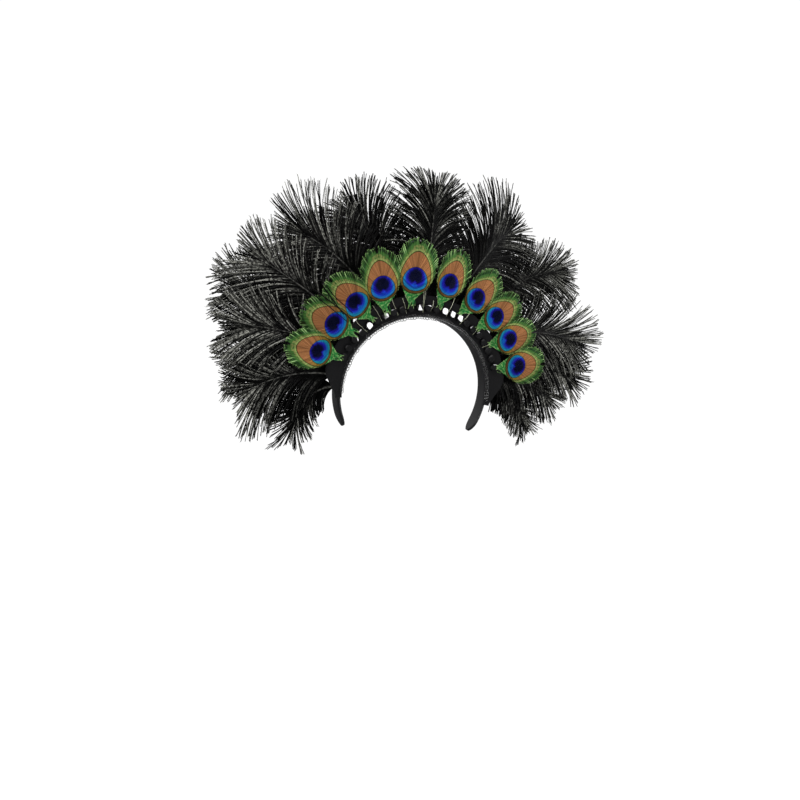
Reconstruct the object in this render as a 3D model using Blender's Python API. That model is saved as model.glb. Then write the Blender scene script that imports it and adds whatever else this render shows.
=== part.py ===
"""Feather headband: an arched band that carries a fan of black plumes, a row
of eyed peacock feathers and a line of faceted black stones. Sizes in metres.

The fan frame has +X to the wearer's left, +Z up the band and -Y to the front.
Its origin is the middle of the band's inner face at the crown. An empty leans
that frame forward as the band is worn, and every piece hangs from it. Places
on the fan are polar: an angle from straight up, positive to the wearer's
left, and a radius from the middle of the arch's widest line."""

import math
from collections import namedtuple

import bmesh
import bpy
from mathutils import Vector

# Fit on the head
HEAD_HALF_WIDTH = 0.084
HEAD_RISE = 0.075
BAND_LEAN_DEG = 8.4
SEWN_GAP = 0.0003

# Band
BAND_WIDTH = 0.015
BAND_THICKNESS = 0.003
BAND_END_DEG = 118.0
BAND_STATIONS = 53
BAND_END_ROUND = 0.012
BAND_END_BLUNT = 0.3
BAND_EDGE = 0.3
BAND_CROWN = 0.8

# Felt backing behind the stones and the peacock feathers
BACKING_HEIGHT = 0.022
BACKING_THICKNESS = 0.002
BACKING_END_DEG = 97.0
BACKING_STATIONS = 41
BACKING_END_HEIGHT = 0.3
BACKING_TAPER_DEG = 18.0

# Faceted stones
STONE_WIDTH = 0.008
STONE_HEIGHT = 0.0034
STONE_SPACING = 0.0019
STONE_END_DEG = 77.0
STONE_MARGIN = 0.006
STONE_TURN_DEG = 5.0
STONE_SIDES = 8
STONE_TABLE = 0.58
STONE_GIRDLE = 0.35
STONE_BACK = 0.94

# Peacock feathers
EYE_LENGTH = 0.070
EYE_WIDTH = 0.043
EYE_THICKNESS = 0.0007
EYE_RIDGE = 0.0005
EYE_RISE = 0.0032
EYE_RISE_SHARE = 0.26
EYE_TILT_DEG = 6.0
EYE_BACK_CURL = 0.004
EYE_CURL_FROM = 0.5
EYE_SEAT = 0.001
EYE_TEETH = 8
EYE_TOOTH_DEPTH = 0.05

# Plumes
PLUME_LENGTH = 0.150
PLUME_SWEEP_POWER = 1.7
QUILL_WIDTH = 0.0028
QUILL_TIP_WIDTH = 0.0010
QUILL_DEPTH = 0.0022
QUILL_START = 0.0006
LOCK_LENGTH = 0.058
LOCK_THICKNESS = 0.0012
LOCK_TIP_THICKNESS = 0.0006
LOCK_RIDGE = 0.0006
LOCKS_PER_SIDE = 11
LOCKS_START = 0.11
LOCK_ROOT_DEG = 68.0
LOCK_TIP_DEG = 46.0
LOCK_DROOP_DEG = 8.0
LOCK_NOTCH = 0.62
LOCK_FIRST_NOTCH = 0.43
LOCK_BODY = 0.53
END_LOCK = 0.12
LAYER_STEP = 0.0034
LAYER_RAMP = 0.14
LAYER_CURL = (0.003, 0.011, 0.020, 0.030)

# Half width of a peacock feather along its length, as shares
EyeSection = namedtuple("EyeSection", "along half_width")
EYE_OUTLINE = (
    EyeSection(0.00, 0.04),
    EyeSection(0.14, 0.42),
    EyeSection(0.28, 0.76),
    EyeSection(0.42, 0.93),
    EyeSection(0.58, 1.00),
    EyeSection(0.74, 0.96),
    EyeSection(0.88, 0.72),
    EyeSection(0.96, 0.42),
    EyeSection(1.00, 0.10),
)

# Length of a plume's locks along its quill, as shares
LockSection = namedtuple("LockSection", "along length")
LOCK_PROFILE = (
    LockSection(0.00, 0.36),
    LockSection(0.22, 0.74),
    LockSection(0.50, 1.00),
    LockSection(0.80, 0.80),
    LockSection(1.00, 0.32),
)

# One row a plume: angles of its root and tip, its length and the length of
# its locks on the side of the crown and on the other side as shares, and its
# layer from front to back
Plume = namedtuple("Plume", "name root_deg tip_deg length crown_locks outer_locks layer")
PLUMES = (
    Plume("plume_right_8", -90, -117, 0.34, 0.60, 0.45, 3),
    Plume("plume_right_7", -83, -101, 0.64, 0.85, 1.15, 1),
    Plume("plume_right_6", -76, -87, 0.75, 0.90, 0.95, 2),
    Plume("plume_right_5", -69, -78, 0.91, 0.95, 1.00, 0),
    Plume("plume_right_4", -62, -70, 0.91, 0.85, 0.85, 3),
    Plume("plume_right_3", -54, -58, 1.01, 0.90, 0.95, 1),
    Plume("plume_right_2", -33, -47, 0.99, 1.00, 1.00, 2),
    Plume("plume_right_1", -17, -21, 0.84, 0.92, 0.95, 3),
    Plume("plume_centre", -1, -2, 0.94, 1.00, 1.00, 0),
    Plume("plume_left_1", 23, 34, 1.00, 0.98, 0.95, 2),
    Plume("plume_left_2", 40, 55, 1.09, 0.95, 0.95, 3),
    Plume("plume_left_3", 57, 75, 0.93, 0.95, 0.85, 0),
    Plume("plume_left_4", 69, 87, 0.91, 0.85, 0.85, 1),
    Plume("plume_left_5", 79, 100, 0.71, 0.80, 0.95, 2),
    Plume("plume_left_6", 88, 110, 0.47, 0.75, 0.45, 3),
)

# One row a peacock feather: angle of its foot, lean of its axis and its size
Eye = namedtuple("Eye", "name foot_deg axis_deg size")
EYES = (
    Eye("peacock_right_5", -72, -81, 0.90),
    Eye("peacock_right_4", -56, -71, 0.96),
    Eye("peacock_right_3", -42, -56, 0.95),
    Eye("peacock_right_2", -31.5, -17, 0.96),
    Eye("peacock_right_1", -13.5, 3, 1.00),
    Eye("peacock_left_1", 8, 20, 0.93),
    Eye("peacock_left_2", 25, 45, 0.93),
    Eye("peacock_left_3", 41.5, 58, 0.90),
    Eye("peacock_left_4", 56, 73, 0.90),
    Eye("peacock_left_5", 72, 83, 0.92),
)

BAND_FRONT = BAND_WIDTH / 2
BACKING_BACK = BAND_FRONT + SEWN_GAP
BACKING_FRONT = BACKING_BACK + BACKING_THICKNESS


def clear_scene():
    """Start from an empty scene."""
    for item in list(bpy.data.objects):
        bpy.data.objects.remove(item, do_unlink=True)


def principled(name, colour, roughness, metallic=0.0):
    """A plain material with the piece's own colour."""
    material = bpy.data.materials.new(name)
    material.use_nodes = True
    shader = material.node_tree.nodes["Principled BSDF"]
    shader.inputs["Base Color"].default_value = (*colour, 1.0)
    shader.inputs["Roughness"].default_value = roughness
    shader.inputs["Metallic"].default_value = metallic
    material.diffuse_color = (*colour, 1.0)
    return material


def smooth(share):
    """Ease from 0 to 1 with level ends."""
    share = min(max(share, 0.0), 1.0)
    return share * share * (3 - 2 * share)


def from_rows(rows, along):
    """Straight lines through a table's rows, read at one place along it."""
    for low, high in zip(rows, rows[1:]):
        if along <= high[0]:
            share = (along - low[0]) / (high[0] - low[0])
            return low[1] + (high[1] - low[1]) * share
    return rows[-1][1]


def arch_radius(angle, offset):
    """Radius at an angle of the arch's inner oval, grown by an offset."""
    half_width = HEAD_HALF_WIDTH + offset
    rise = HEAD_RISE + offset
    return 1 / math.hypot(math.sin(angle) / half_width, math.cos(angle) / rise)


def on_fan(angle, radius, front):
    """Fan frame point of a polar place, this far in front of the middle."""
    across = radius * math.sin(angle)
    up = radius * math.cos(angle) - HEAD_RISE
    return Vector((across, -front, up))


def polar_of(point):
    """Angle and radius of a fan frame point."""
    up = point.z + HEAD_RISE
    return math.atan2(point.x, up), math.hypot(point.x, up)


def towards(angle):
    """Unit vector across the fan at an angle from straight up."""
    return Vector((math.sin(angle), 0, math.cos(angle)))


def add_piece(name, mesh, material, frame, origin):
    """Put a mesh into the scene as one named piece on the leaning frame."""
    piece = bpy.data.objects.new(name, mesh)
    bpy.context.scene.collection.objects.link(piece)
    piece.parent = frame
    piece.location = origin
    if not mesh.materials:
        mesh.materials.append(material)
    return piece


def finish_mesh(name, shape, origin, sharp_deg=None):
    """Close a bmesh into a mesh around its origin, with outward faces."""
    bmesh.ops.translate(shape, vec=-origin, verts=shape.verts)
    bmesh.ops.recalc_face_normals(shape, faces=shape.faces)
    mesh = bpy.data.meshes.new(name)
    shape.to_mesh(mesh)
    shape.free()
    if sharp_deg is not None:
        mesh.shade_smooth()
        mesh.set_sharp_from_angle(angle=math.radians(sharp_deg))
    return mesh


def thick_sheet(points, faces):
    """Closed body round a sheet. A point is its place and how far the body
    stands in front of it and behind it; faces share their points by number."""
    shape = bmesh.new()
    fronts = []
    backs = []
    for place, front, back in points:
        fronts.append(shape.verts.new(place - Vector((0, front, 0))))
        backs.append(shape.verts.new(place + Vector((0, back, 0))))
    uses = {}
    for face in faces:
        shape.faces.new([fronts[i] for i in face])
        shape.faces.new([backs[i] for i in reversed(face)])
        for start, end in zip(face, face[1:] + face[:1]):
            uses.setdefault(frozenset((start, end)), []).append((start, end))
    for sides in uses.values():
        if len(sides) == 1:
            start, end = sides[0]
            wall = [fronts[end], fronts[start], backs[start], backs[end]]
            shape.faces.new(wall)
    return shape


def swept_body(rings):
    """Closed body through rings of as many points each."""
    shape = bmesh.new()
    rows = [[shape.verts.new(point) for point in ring] for ring in rings]
    for row, following in zip(rows, rows[1:]):
        for i in range(len(row)):
            j = (i + 1) % len(row)
            shape.faces.new([row[i], row[j], following[j], following[i]])
    shape.faces.new(rows[0])
    shape.faces.new(list(reversed(rows[-1])))
    return shape


def make_headband(frame, material):
    """Arched band with a crowned outer face and rounded ends."""
    end = math.radians(BAND_END_DEG)
    arc_length = end * (HEAD_HALF_WIDTH + HEAD_RISE)
    half = BAND_WIDTH / 2
    flat = half * BAND_CROWN
    edge = BAND_THICKNESS * BAND_EDGE
    section = (
        (-half, edge), (-half, BAND_THICKNESS - edge),
        (-flat, BAND_THICKNESS), (flat, BAND_THICKNESS),
        (half, BAND_THICKNESS - edge), (half, edge),
        (flat, 0), (-flat, 0),
    )
    rings = []
    for station in range(BAND_STATIONS):
        angle = -end * math.cos(math.pi * station / (BAND_STATIONS - 1))
        to_end = (1 - abs(angle) / end) * arc_length / 2
        inset = max(0.0, 1 - to_end / BAND_END_ROUND)
        narrow = max(math.sqrt(1 - inset * inset), BAND_END_BLUNT)
        ring = [on_fan(angle, arch_radius(angle, offset), front * narrow)
                for front, offset in section]
        rings.append(ring)
    origin = Vector((0, 0, 0))
    mesh = finish_mesh("headband", swept_body(rings), origin, sharp_deg=35)
    return add_piece("headband", mesh, material, frame, origin)


def backing_height(angle):
    """Height of the felt at an angle: even, then tapered to its ends."""
    to_end = math.radians(BACKING_END_DEG) - abs(angle)
    share = smooth(to_end / math.radians(BACKING_TAPER_DEG))
    return BACKING_HEIGHT * (BACKING_END_HEIGHT + (1 - BACKING_END_HEIGHT) * share)


def make_backing(frame, material):
    """Felt crescent on the front edge of the band."""
    end = math.radians(BACKING_END_DEG)
    middle = (BACKING_BACK + BACKING_FRONT) / 2
    half = BACKING_THICKNESS / 2
    points = []
    faces = []
    for station in range(BACKING_STATIONS):
        angle = -end + 2 * end * station / (BACKING_STATIONS - 1)
        inner = on_fan(angle, arch_radius(angle, 0), middle)
        outer = on_fan(angle, arch_radius(angle, backing_height(angle)), middle)
        points += [(inner, half, half), (outer, half, half)]
        if station:
            near = 2 * station
            faces.append([near - 2, near - 1, near + 1, near])
    origin = on_fan(0, arch_radius(0, 0), middle)
    mesh = finish_mesh("fan_backing", thick_sheet(points, faces), origin)
    return add_piece("fan_backing", mesh, material, frame, origin)


def stone_mesh():
    """Cut stone: flat back, girdle, eight crown facets and a table."""
    sections = (
        (0, STONE_BACK),
        (STONE_GIRDLE, 1),
        (1, STONE_TABLE),
    )
    rings = []
    for height, size in sections:
        radius = size * STONE_WIDTH / 2 / math.cos(math.pi / STONE_SIDES)
        ring = []
        for side in range(STONE_SIDES):
            place = towards(2 * math.pi * (side + 0.5) / STONE_SIDES) * radius
            ring.append(place - Vector((0, height * STONE_HEIGHT, 0)))
        rings.append(ring)
    return finish_mesh("stone", swept_body(rings), Vector((0, 0, 0)))


def stone_angles():
    """Angles of the stones: an even pitch along their line, both ways."""
    line = STONE_MARGIN + STONE_WIDTH / 2
    pitch = STONE_WIDTH + STONE_SPACING
    side = [0.0]
    while True:
        step = pitch / arch_radius(side[-1], line)
        if side[-1] + step > math.radians(STONE_END_DEG):
            break
        side.append(side[-1] + step)
    return [-angle for angle in reversed(side[1:])] + side


def make_stones(frame, material):
    """Line of like stones on the front of the felt."""
    mesh = stone_mesh()
    line = STONE_MARGIN + STONE_WIDTH / 2
    stones = []
    for count, angle in enumerate(stone_angles(), start=1):
        place = on_fan(angle, arch_radius(angle, line), BACKING_FRONT + SEWN_GAP)
        stone = add_piece(f"jet_stone_{count:02d}", mesh, material, frame, place)
        hand_turn = math.radians(STONE_TURN_DEG) * math.sin(4.7 * count)
        stone.rotation_euler = (0, angle + hand_turn, 0)
        stones.append(stone)
    return stones


def eye_place(row, foot, side, along):
    """Place on a peacock feather, side shares from its axis and along it."""
    axis = math.radians(row.axis_deg)
    length = EYE_LENGTH * row.size
    half = from_rows(EYE_OUTLINE, along) * EYE_WIDTH * row.size / 2
    crown_side = -1 if row.foot_deg > 0 else 1
    across = side * half
    rise = EYE_RISE * smooth(along / EYE_RISE_SHARE)
    lift = across * crown_side * math.sin(math.radians(EYE_TILT_DEG))
    past = max(0.0, along - EYE_CURL_FROM) / (1 - EYE_CURL_FROM)
    front = rise + lift * smooth(along / EYE_RISE_SHARE) - EYE_BACK_CURL * past * past
    place = foot + towards(axis) * (length * along)
    place += towards(axis + math.pi / 2) * across
    return place - Vector((0, front, 0))


def make_peacock(row, frame, material):
    """Eyed feather: a thin tilted vane with a toothed rim and a fine ridge."""
    foot_angle = math.radians(row.foot_deg)
    above_stones = STONE_MARGIN + STONE_WIDTH + EYE_SEAT
    half = EYE_THICKNESS / 2
    foot = on_fan(foot_angle, arch_radius(foot_angle, above_stones),
                  BACKING_FRONT + SEWN_GAP + half)
    count = 2 * EYE_TEETH + 1
    points = []
    faces = []
    for station in range(count):
        along = station / (count - 1)
        tooth = EYE_TOOTH_DEPTH * (1 if station % 2 else -1)
        points.append((eye_place(row, foot, 0, along), half + EYE_RIDGE, half))
        for side in (-1, 1):
            rim = eye_place(row, foot, side * (1 + tooth), along)
            points.append((rim, half, half))
        if station:
            here = 3 * station
            faces.append([here - 3, here - 2, here + 1, here])
            faces.append([here - 1, here - 3, here, here + 2])
    mesh = finish_mesh(row.name, thick_sheet(points, faces), foot)
    return add_piece(row.name, mesh, material, frame, foot)


def layer_front(layer, angle, radius):
    """How far in front of the middle a plume's layer lies at a place. The
    layers part past the felt and curl back more from front to rear."""
    from_band = (radius - arch_radius(angle, BAND_THICKNESS)) / PLUME_LENGTH
    parting = LAYER_STEP * layer * smooth(from_band / LAYER_RAMP)
    curl = LAYER_CURL[layer] * max(0.0, from_band) ** 2
    return BAND_FRONT - QUILL_DEPTH / 2 - parting - curl


def on_layer(place, layer):
    """Move a place of the fan onto a plume's layer."""
    angle, radius = polar_of(place)
    return on_fan(angle, radius, layer_front(layer, angle, radius))


def quill_place(row, along):
    """Place on a plume's quill, swept towards its tip's angle."""
    root = math.radians(row.root_deg)
    sweep = math.radians(row.tip_deg) - root
    start = arch_radius(root, BAND_THICKNESS + QUILL_START)
    radius = start + row.length * PLUME_LENGTH * along
    return on_fan(root + sweep * along ** PLUME_SWEEP_POWER, radius, 0)


def quill_heading(row, along):
    """Angle from straight up in which a quill runs."""
    reach = 0.01
    ahead = quill_place(row, min(along + reach, 1.0))
    behind = quill_place(row, max(along - reach, 0.0))
    return math.atan2(ahead.x - behind.x, ahead.z - behind.z)


def lock_end(row, along, side, share):
    """Place on the middle line of a lock that leaves the quill at `along`."""
    crown_side = -1 if row.tip_deg > 0 else 1
    length_share = row.crown_locks if side == crown_side else row.outer_locks
    length = LOCK_LENGTH * length_share * from_rows(LOCK_PROFILE, along)
    spread = LOCK_ROOT_DEG + (LOCK_TIP_DEG - LOCK_ROOT_DEG) * along
    angle = quill_heading(row, along) + side * math.radians(
        spread + LOCK_DROOP_DEG * share)
    return quill_place(row, along) + towards(angle) * (length * share)


def make_plume(row, frame, material):
    """Plume: a tapered quill with a row of pointed locks on both sides."""
    step = (1 - LOCKS_START) / LOCKS_PER_SIDE
    stations = [0.0, LOCKS_START / 2]
    stations += [LOCKS_START + step * i for i in range(LOCKS_PER_SIDE + 1)]
    thin = LOCK_THICKNESS / 2
    pointed = LOCK_TIP_THICKNESS / 2
    points = []
    faces = []

    def add_point(place, front, back):
        points.append((on_layer(place, row.layer), front, back))
        return len(points) - 1

    middle = []
    edges = {-1: [], 1: []}
    for along in stations:
        width = QUILL_WIDTH + (QUILL_TIP_WIDTH - QUILL_WIDTH) * along
        depth = QUILL_DEPTH / 2 * width / QUILL_WIDTH
        place = quill_place(row, along)
        sideways = towards(quill_heading(row, along) + math.pi / 2) * width / 2
        middle.append(add_point(place, depth, depth))
        for side in (-1, 1):
            edges[side].append(add_point(place + sideways * side, thin, thin))
    for i in range(len(stations) - 1):
        for side in (-1, 1):
            faces.append([middle[i], edges[side][i],
                          edges[side][i + 1], middle[i + 1]][::side])

    last_notches = {}
    first = len(stations) - LOCKS_PER_SIDE - 1
    for side in (-1, 1):
        notch = add_point(lock_end(row, LOCKS_START, side, LOCK_FIRST_NOTCH),
                          thin, thin)
        for i in range(first, len(stations) - 1):
            start = edges[side][i]
            end = edges[side][i + 1]
            centre = stations[i] + step / 2
            body = add_point(lock_end(row, centre, side, LOCK_BODY),
                             thin + LOCK_RIDGE, thin)
            tip = add_point(lock_end(row, centre, side, 1), pointed, pointed)
            following = add_point(lock_end(row, stations[i + 1], side, LOCK_NOTCH),
                                  thin, thin)
            for face in ([start, end, body], [end, following, body],
                         [following, tip, body], [tip, notch, body],
                         [notch, start, body]):
                faces.append(face[::-side])
            notch = following
        last_notches[side] = notch

    heading = quill_heading(row, 1)
    end_length = LOCK_LENGTH * END_LOCK
    tip_place = quill_place(row, 1) + towards(heading) * end_length
    tip = add_point(tip_place, pointed, pointed)
    for side in (-1, 1):
        for face in ([middle[-1], edges[side][-1], last_notches[side]],
                     [middle[-1], last_notches[side], tip]):
            faces.append(face[::side])

    origin = on_layer(quill_place(row, 0), row.layer)
    mesh = finish_mesh(row.name, thick_sheet(points, faces), origin)
    return add_piece(row.name, mesh, material, frame, origin)


def main():
    clear_scene()
    frame = bpy.data.objects.new("band_plane", None)
    frame.rotation_euler = (math.radians(BAND_LEAN_DEG), 0, 0)
    bpy.context.scene.collection.objects.link(frame)

    satin = principled("black_satin", (0.012, 0.012, 0.013), 0.45)
    felt = principled("black_felt", (0.010, 0.010, 0.010), 0.9)
    jet = principled("black_glass", (0.008, 0.008, 0.010), 0.08)
    ostrich = principled("black_ostrich", (0.010, 0.010, 0.011), 0.6)
    peacock = principled("peacock_green", (0.07, 0.22, 0.05), 0.4)

    make_headband(frame, satin)
    make_backing(frame, felt)
    make_stones(frame, jet)
    for row in EYES:
        make_peacock(row, frame, peacock)
    for row in PLUMES:
        make_plume(row, frame, ostrich)


main()
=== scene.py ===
"""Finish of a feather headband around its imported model: ostrich plumes barb by
barb, eyed peacock feathers, cut jet stones, satin band, felt and trim, and a
plain studio. Sizes in metres, colours as sRGB hex values.

Places on the fan are polar, as in the model: an angle from straight up,
positive to the wearer's left, and a radius from the middle of the arch's
widest line. The fan frame has +X to the wearer's left, +Z up the band and -Y
to the front, and is leaned forward into the row frame."""

import math
from collections import namedtuple

import bmesh
import bpy
import numpy as np
from bpy.props import (
    FloatProperty,
    FloatVectorProperty,
    IntProperty,
    PointerProperty,
)
from mathutils import Color, Matrix, Vector


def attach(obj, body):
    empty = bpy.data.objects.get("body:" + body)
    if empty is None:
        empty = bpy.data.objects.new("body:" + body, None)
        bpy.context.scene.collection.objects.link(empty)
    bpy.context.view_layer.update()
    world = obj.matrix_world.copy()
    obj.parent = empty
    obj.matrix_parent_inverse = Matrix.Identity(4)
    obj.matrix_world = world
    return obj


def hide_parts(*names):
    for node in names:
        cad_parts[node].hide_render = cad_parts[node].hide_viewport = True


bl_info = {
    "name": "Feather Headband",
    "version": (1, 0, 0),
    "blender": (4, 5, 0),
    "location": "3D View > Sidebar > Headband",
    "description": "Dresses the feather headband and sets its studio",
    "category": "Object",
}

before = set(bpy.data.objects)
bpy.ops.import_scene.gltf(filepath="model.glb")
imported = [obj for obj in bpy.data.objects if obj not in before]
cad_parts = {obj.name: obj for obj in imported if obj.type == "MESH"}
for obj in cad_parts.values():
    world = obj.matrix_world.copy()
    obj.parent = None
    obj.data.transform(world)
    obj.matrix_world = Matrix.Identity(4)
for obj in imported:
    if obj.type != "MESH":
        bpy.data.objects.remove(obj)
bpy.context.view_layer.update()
BODY = "root"

# Arch and layers, as the model has them
HEAD_HALF_WIDTH = 0.084
HEAD_RISE = 0.075
BAND_LEAN_DEG = 8.4
BAND_WIDTH = 0.015
BAND_THICKNESS = 0.003
BAND_END_DEG = 118.0
BAND_END_ROUND = 0.012
BAND_END_BLUNT = 0.3
SEWN_GAP = 0.0003
BACKING_HEIGHT = 0.022
BACKING_THICKNESS = 0.002
BACKING_END_DEG = 97.0
BACKING_END_HEIGHT = 0.3
BACKING_TAPER_DEG = 18.0
STONE_MARGIN = 0.006
STONE_WIDTH = 0.008
STONE_HEIGHT = 0.0034
STONE_SPACING = 0.0019
STONE_END_DEG = 77.0
STONE_TURN_DEG = 16.0
STONE_SIDES = 8
PLUME_LENGTH = 0.150
PLUME_SWEEP_POWER = 1.7
QUILL_WIDTH = 0.0028
QUILL_TIP_WIDTH = 0.0010
QUILL_DEPTH = 0.0022
QUILL_START = 0.0006
LOCK_LENGTH = 0.058
LOCK_ROOT_DEG = 68.0
LOCK_TIP_DEG = 52.0
END_LOCK = 0.10
LAYER_STEP = 0.0034
LAYER_RAMP = 0.14
LAYER_CURL = (0.003, 0.011, 0.020, 0.030)
EYE_LENGTH = 0.070
EYE_WIDTH = 0.043
EYE_RISE = 0.0032
EYE_RISE_SHARE = 0.26
EYE_TILT_DEG = 6.0
EYE_BACK_CURL = 0.004
EYE_CURL_FROM = 0.5
EYE_SEAT = 0.001
BAND_FRONT = BAND_WIDTH / 2
BACKING_BACK = BAND_FRONT + SEWN_GAP
BACKING_FRONT = BACKING_BACK + BACKING_THICKNESS

# Share of a peacock feather's length from its foot to the middle of its spot
SPOT_SHARE = 0.35

# Half width of a peacock feather along its length, as shares
EYE_ALONG = (0.00, 0.14, 0.28, 0.42, 0.58, 0.74, 0.88, 0.96, 1.00)
EYE_HALF_WIDTH = (0.04, 0.42, 0.76, 0.93, 1.00, 0.96, 0.72, 0.42, 0.10)

# Length of a plume's barbs along its quill, as shares
LOCK_ALONG = (0.00, 0.22, 0.50, 0.80, 1.00)
LOCK_SHARE = (0.58, 0.88, 1.00, 0.92, 0.44)
UNDER_SHARE = (0.95, 1.00, 0.90, 0.58, 0.12)

# One row a plume: angles of its root and tip, its length, the length of its
# barbs on the side of the crown and on the other, its layer from the front and
# how open it is, from dense to see-through
Plume = namedtuple(
    "Plume", "name root_deg tip_deg length crown_locks outer_locks layer openness")
PLUMES = (
    Plume("plume_right_8", -90, -112, 0.32, 0.60, 0.54, 3, 0.2),
    Plume("plume_right_7", -83, -94, 0.64, 0.90, 1.05, 1, 0.3),
    Plume("plume_right_6", -76, -86, 0.70, 0.90, 0.94, 2, 0.8),
    Plume("plume_right_5", -69, -76, 0.84, 0.95, 0.95, 0, 1.0),
    Plume("plume_right_4", -62, -67, 0.86, 1.06, 0.92, 3, 1.0),
    Plume("plume_right_3", -54, -58, 0.94, 0.98, 1.20, 1, 0.7),
    Plume("plume_right_2", -33, -46, 0.88, 1.14, 1.26, 2, 0.4),
    Plume("plume_right_1", -17, -26, 0.79, 1.00, 1.20, 3, 0.0),
    Plume("plume_centre", -1, -1, 0.86, 0.86, 1.10, 0, 0.0),
    Plume("plume_left_1", 23, 32, 0.88, 1.24, 1.06, 2, 0.0),
    Plume("plume_left_2", 40, 57, 1.10, 0.84, 1.00, 3, 0.6),
    Plume("plume_left_3", 57, 75, 0.86, 1.00, 0.88, 0, 0.6),
    Plume("plume_left_4", 69, 86, 0.83, 0.88, 0.60, 1, 0.4),
    Plume("plume_left_5", 79, 92, 0.65, 0.80, 0.66, 2, 0.4),
    Plume("plume_left_6", 86, 102, 0.47, 0.66, 0.54, 3, 0.3),
)

# One row a peacock feather: angle of its foot, lean of its axis, its size and
# how far its blue turns to turquoise, a painted iridescent sheen for the angle
# at which the feather is seen
Eye = namedtuple("Eye", "name foot_deg axis_deg size turquoise")
EYES = (
    Eye("peacock_right_5", -72, -81, 0.90, 1.0),
    Eye("peacock_right_4", -56, -71, 0.96, 0.5),
    Eye("peacock_right_3", -42, -56, 0.95, 0.6),
    Eye("peacock_right_2", -31.5, -17, 0.96, 0.0),
    Eye("peacock_right_1", -13.5, 3, 1.00, 0.3),
    Eye("peacock_left_1", 8, 20, 0.93, 0.0),
    Eye("peacock_left_2", 25, 45, 0.93, 0.4),
    Eye("peacock_left_3", 41.5, 58, 0.90, 0.8),
    Eye("peacock_left_4", 56, 73, 0.90, 0.6),
    Eye("peacock_left_5", 72, 83, 0.92, 0.7),
)


def linear(hex_colour):
    """Linear red, green and blue of an sRGB hex value."""
    levels = [int(hex_colour[i:i + 2], 16) / 255 for i in (1, 3, 5)]
    return tuple(v / 12.92 if v <= 0.04045 else ((v + 0.055) / 1.055) ** 2.4
                 for v in levels)


def colour_property(name, hex_colour, description):
    """Colour that a user can change, with its default as an sRGB hex value."""
    return FloatVectorProperty(name=name, description=description, subtype="COLOR",
                               size=3, min=0.0, max=1.0, default=linear(hex_colour))


def length_property(name, metres, description):
    """Length that a user can change."""
    return FloatProperty(name=name, description=description, unit="LENGTH",
                         subtype="DISTANCE", min=0.0, precision=5, default=metres)


def share_property(name, share, description, least=0.0):
    """Share that a user can change."""
    return FloatProperty(name=name, description=description, subtype="FACTOR",
                         min=least, max=1.0, default=share)


def angle_property(name, degrees, description, least=0.0, most=90.0):
    """Angle that a user can change."""
    return FloatProperty(name=name, description=description, subtype="ANGLE",
                         min=math.radians(least), max=math.radians(most),
                         default=math.radians(degrees))


class PlumeSettings(bpy.types.PropertyGroup):
    """Sizes and colour of the ostrich plumes"""
    barb_pitch: length_property("Barb pitch", 0.00098, "Step between barbs on a quill")
    barb_radius: length_property("Barb radius", 0.00058, "Half thickness of a barb")
    barbule_length: length_property("Barbule length", 0.0025, "Length of the down on barbs")
    barbule_radius: length_property("Barbule radius", 0.00034, "Half thickness of the down")
    barbule_step: length_property("Barbule step", 0.0018, "Step between barbules on a barb")
    under_pitch: length_property(
        "Under pitch", 0.0008, "Step between the broad barbs of the feather behind")
    under_radius: length_property(
        "Under radius", 0.0009, "Half thickness of the feather behind's barbs")
    barbule_lean: angle_property("Barbule lean", 38, "Angle between a barbule and its barb")
    clump: IntProperty(
        name="Clump", description="Barbs that hang together at their ends",
        default=3, min=1, max=8)
    gather: share_property("Gather", 0.50, "Share by which a clump's ends close up")
    loft: length_property("Loft", 0.0055, "How far barbs stand out of the plume's plane")
    sag: share_property("Sag", 0.07, "Drop of a level barb's end, as a share of its length")
    seed: IntProperty(name="Seed", description="Seed of the barbs' variation", default=11)
    colour: colour_property("Plume", "#020202", "Dyed barbs")
    # Grey of barbs that took less dye, and of the painted highlights on the barbs
    dust_and_glint_grey: colour_property("Faded barbs", "#7c7c76", "Barbs that took less dye")


class PeacockSettings(bpy.types.PropertyGroup):
    """Sizes and colours of the eyed peacock feathers"""
    barbs: IntProperty(
        name="Barbs", description="Barbs on each side of a feather",
        default=62, min=12, max=120)
    bend: angle_property("Bend", 15, "Angle by which a barb turns up from its root")
    fringe: share_property("Fringe", 0.18, "Share of a barb that tapers to its end", least=0.01)
    seed: IntProperty(name="Seed", description="Seed of the barbs' variation", default=23)
    heart: colour_property("Heart", "#03051e", "Dark heart of the spot")
    violet: colour_property("Violet", "#1a1290", "Blue beside the heart")
    blue: colour_property("Blue", "#0a2f9a", "Body of the spot")
    cyan: colour_property("Cyan", "#185f90", "Rim of the spot")
    # Turquoise of the painted iridescent sheen on the rims of the outer feathers' spots
    turquoise: colour_property("Turquoise", "#147a80", "Rim of the outer feathers' spots")
    copper: colour_property("Copper", "#825736", "Oval above the spot")
    bronze: colour_property("Bronze", "#7a6428", "Oval beside the spot")
    brown: colour_property("Brown", "#543a1c", "Oval below the spot")
    line: colour_property("Line", "#1c240d", "Line round the oval")
    ring: colour_property("Ring", "#75834a", "Pale ring")
    olive: colour_property("Olive", "#6a7040", "Band above the ring")
    green: colour_property("Green", "#375a2a", "Vane outside the ring")
    deep: colour_property("Deep green", "#15301a", "Base of the fringe")
    tips: colour_property("Tips", "#76955e", "Ends of the barbs")
    emerald: colour_property("Emerald", "#1a6c30", "Foot of the feather")
    hem: colour_property("Hem", "#8fae6e", "Pale edges of the foot")
    stem: colour_property("Stem", "#d6d8c4", "Pale stems and herls")


class StoneSettings(bpy.types.PropertyGroup):
    """Cut and look of the jet stones"""
    tilt: angle_property("Tilt", 5, "Most that a sewn stone leans from the felt", most=30)
    seed: IntProperty(name="Seed", description="Seed of the stones' lean", default=5)
    colour: colour_property("Jet", "#050506", "Pressed black glass")


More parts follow.
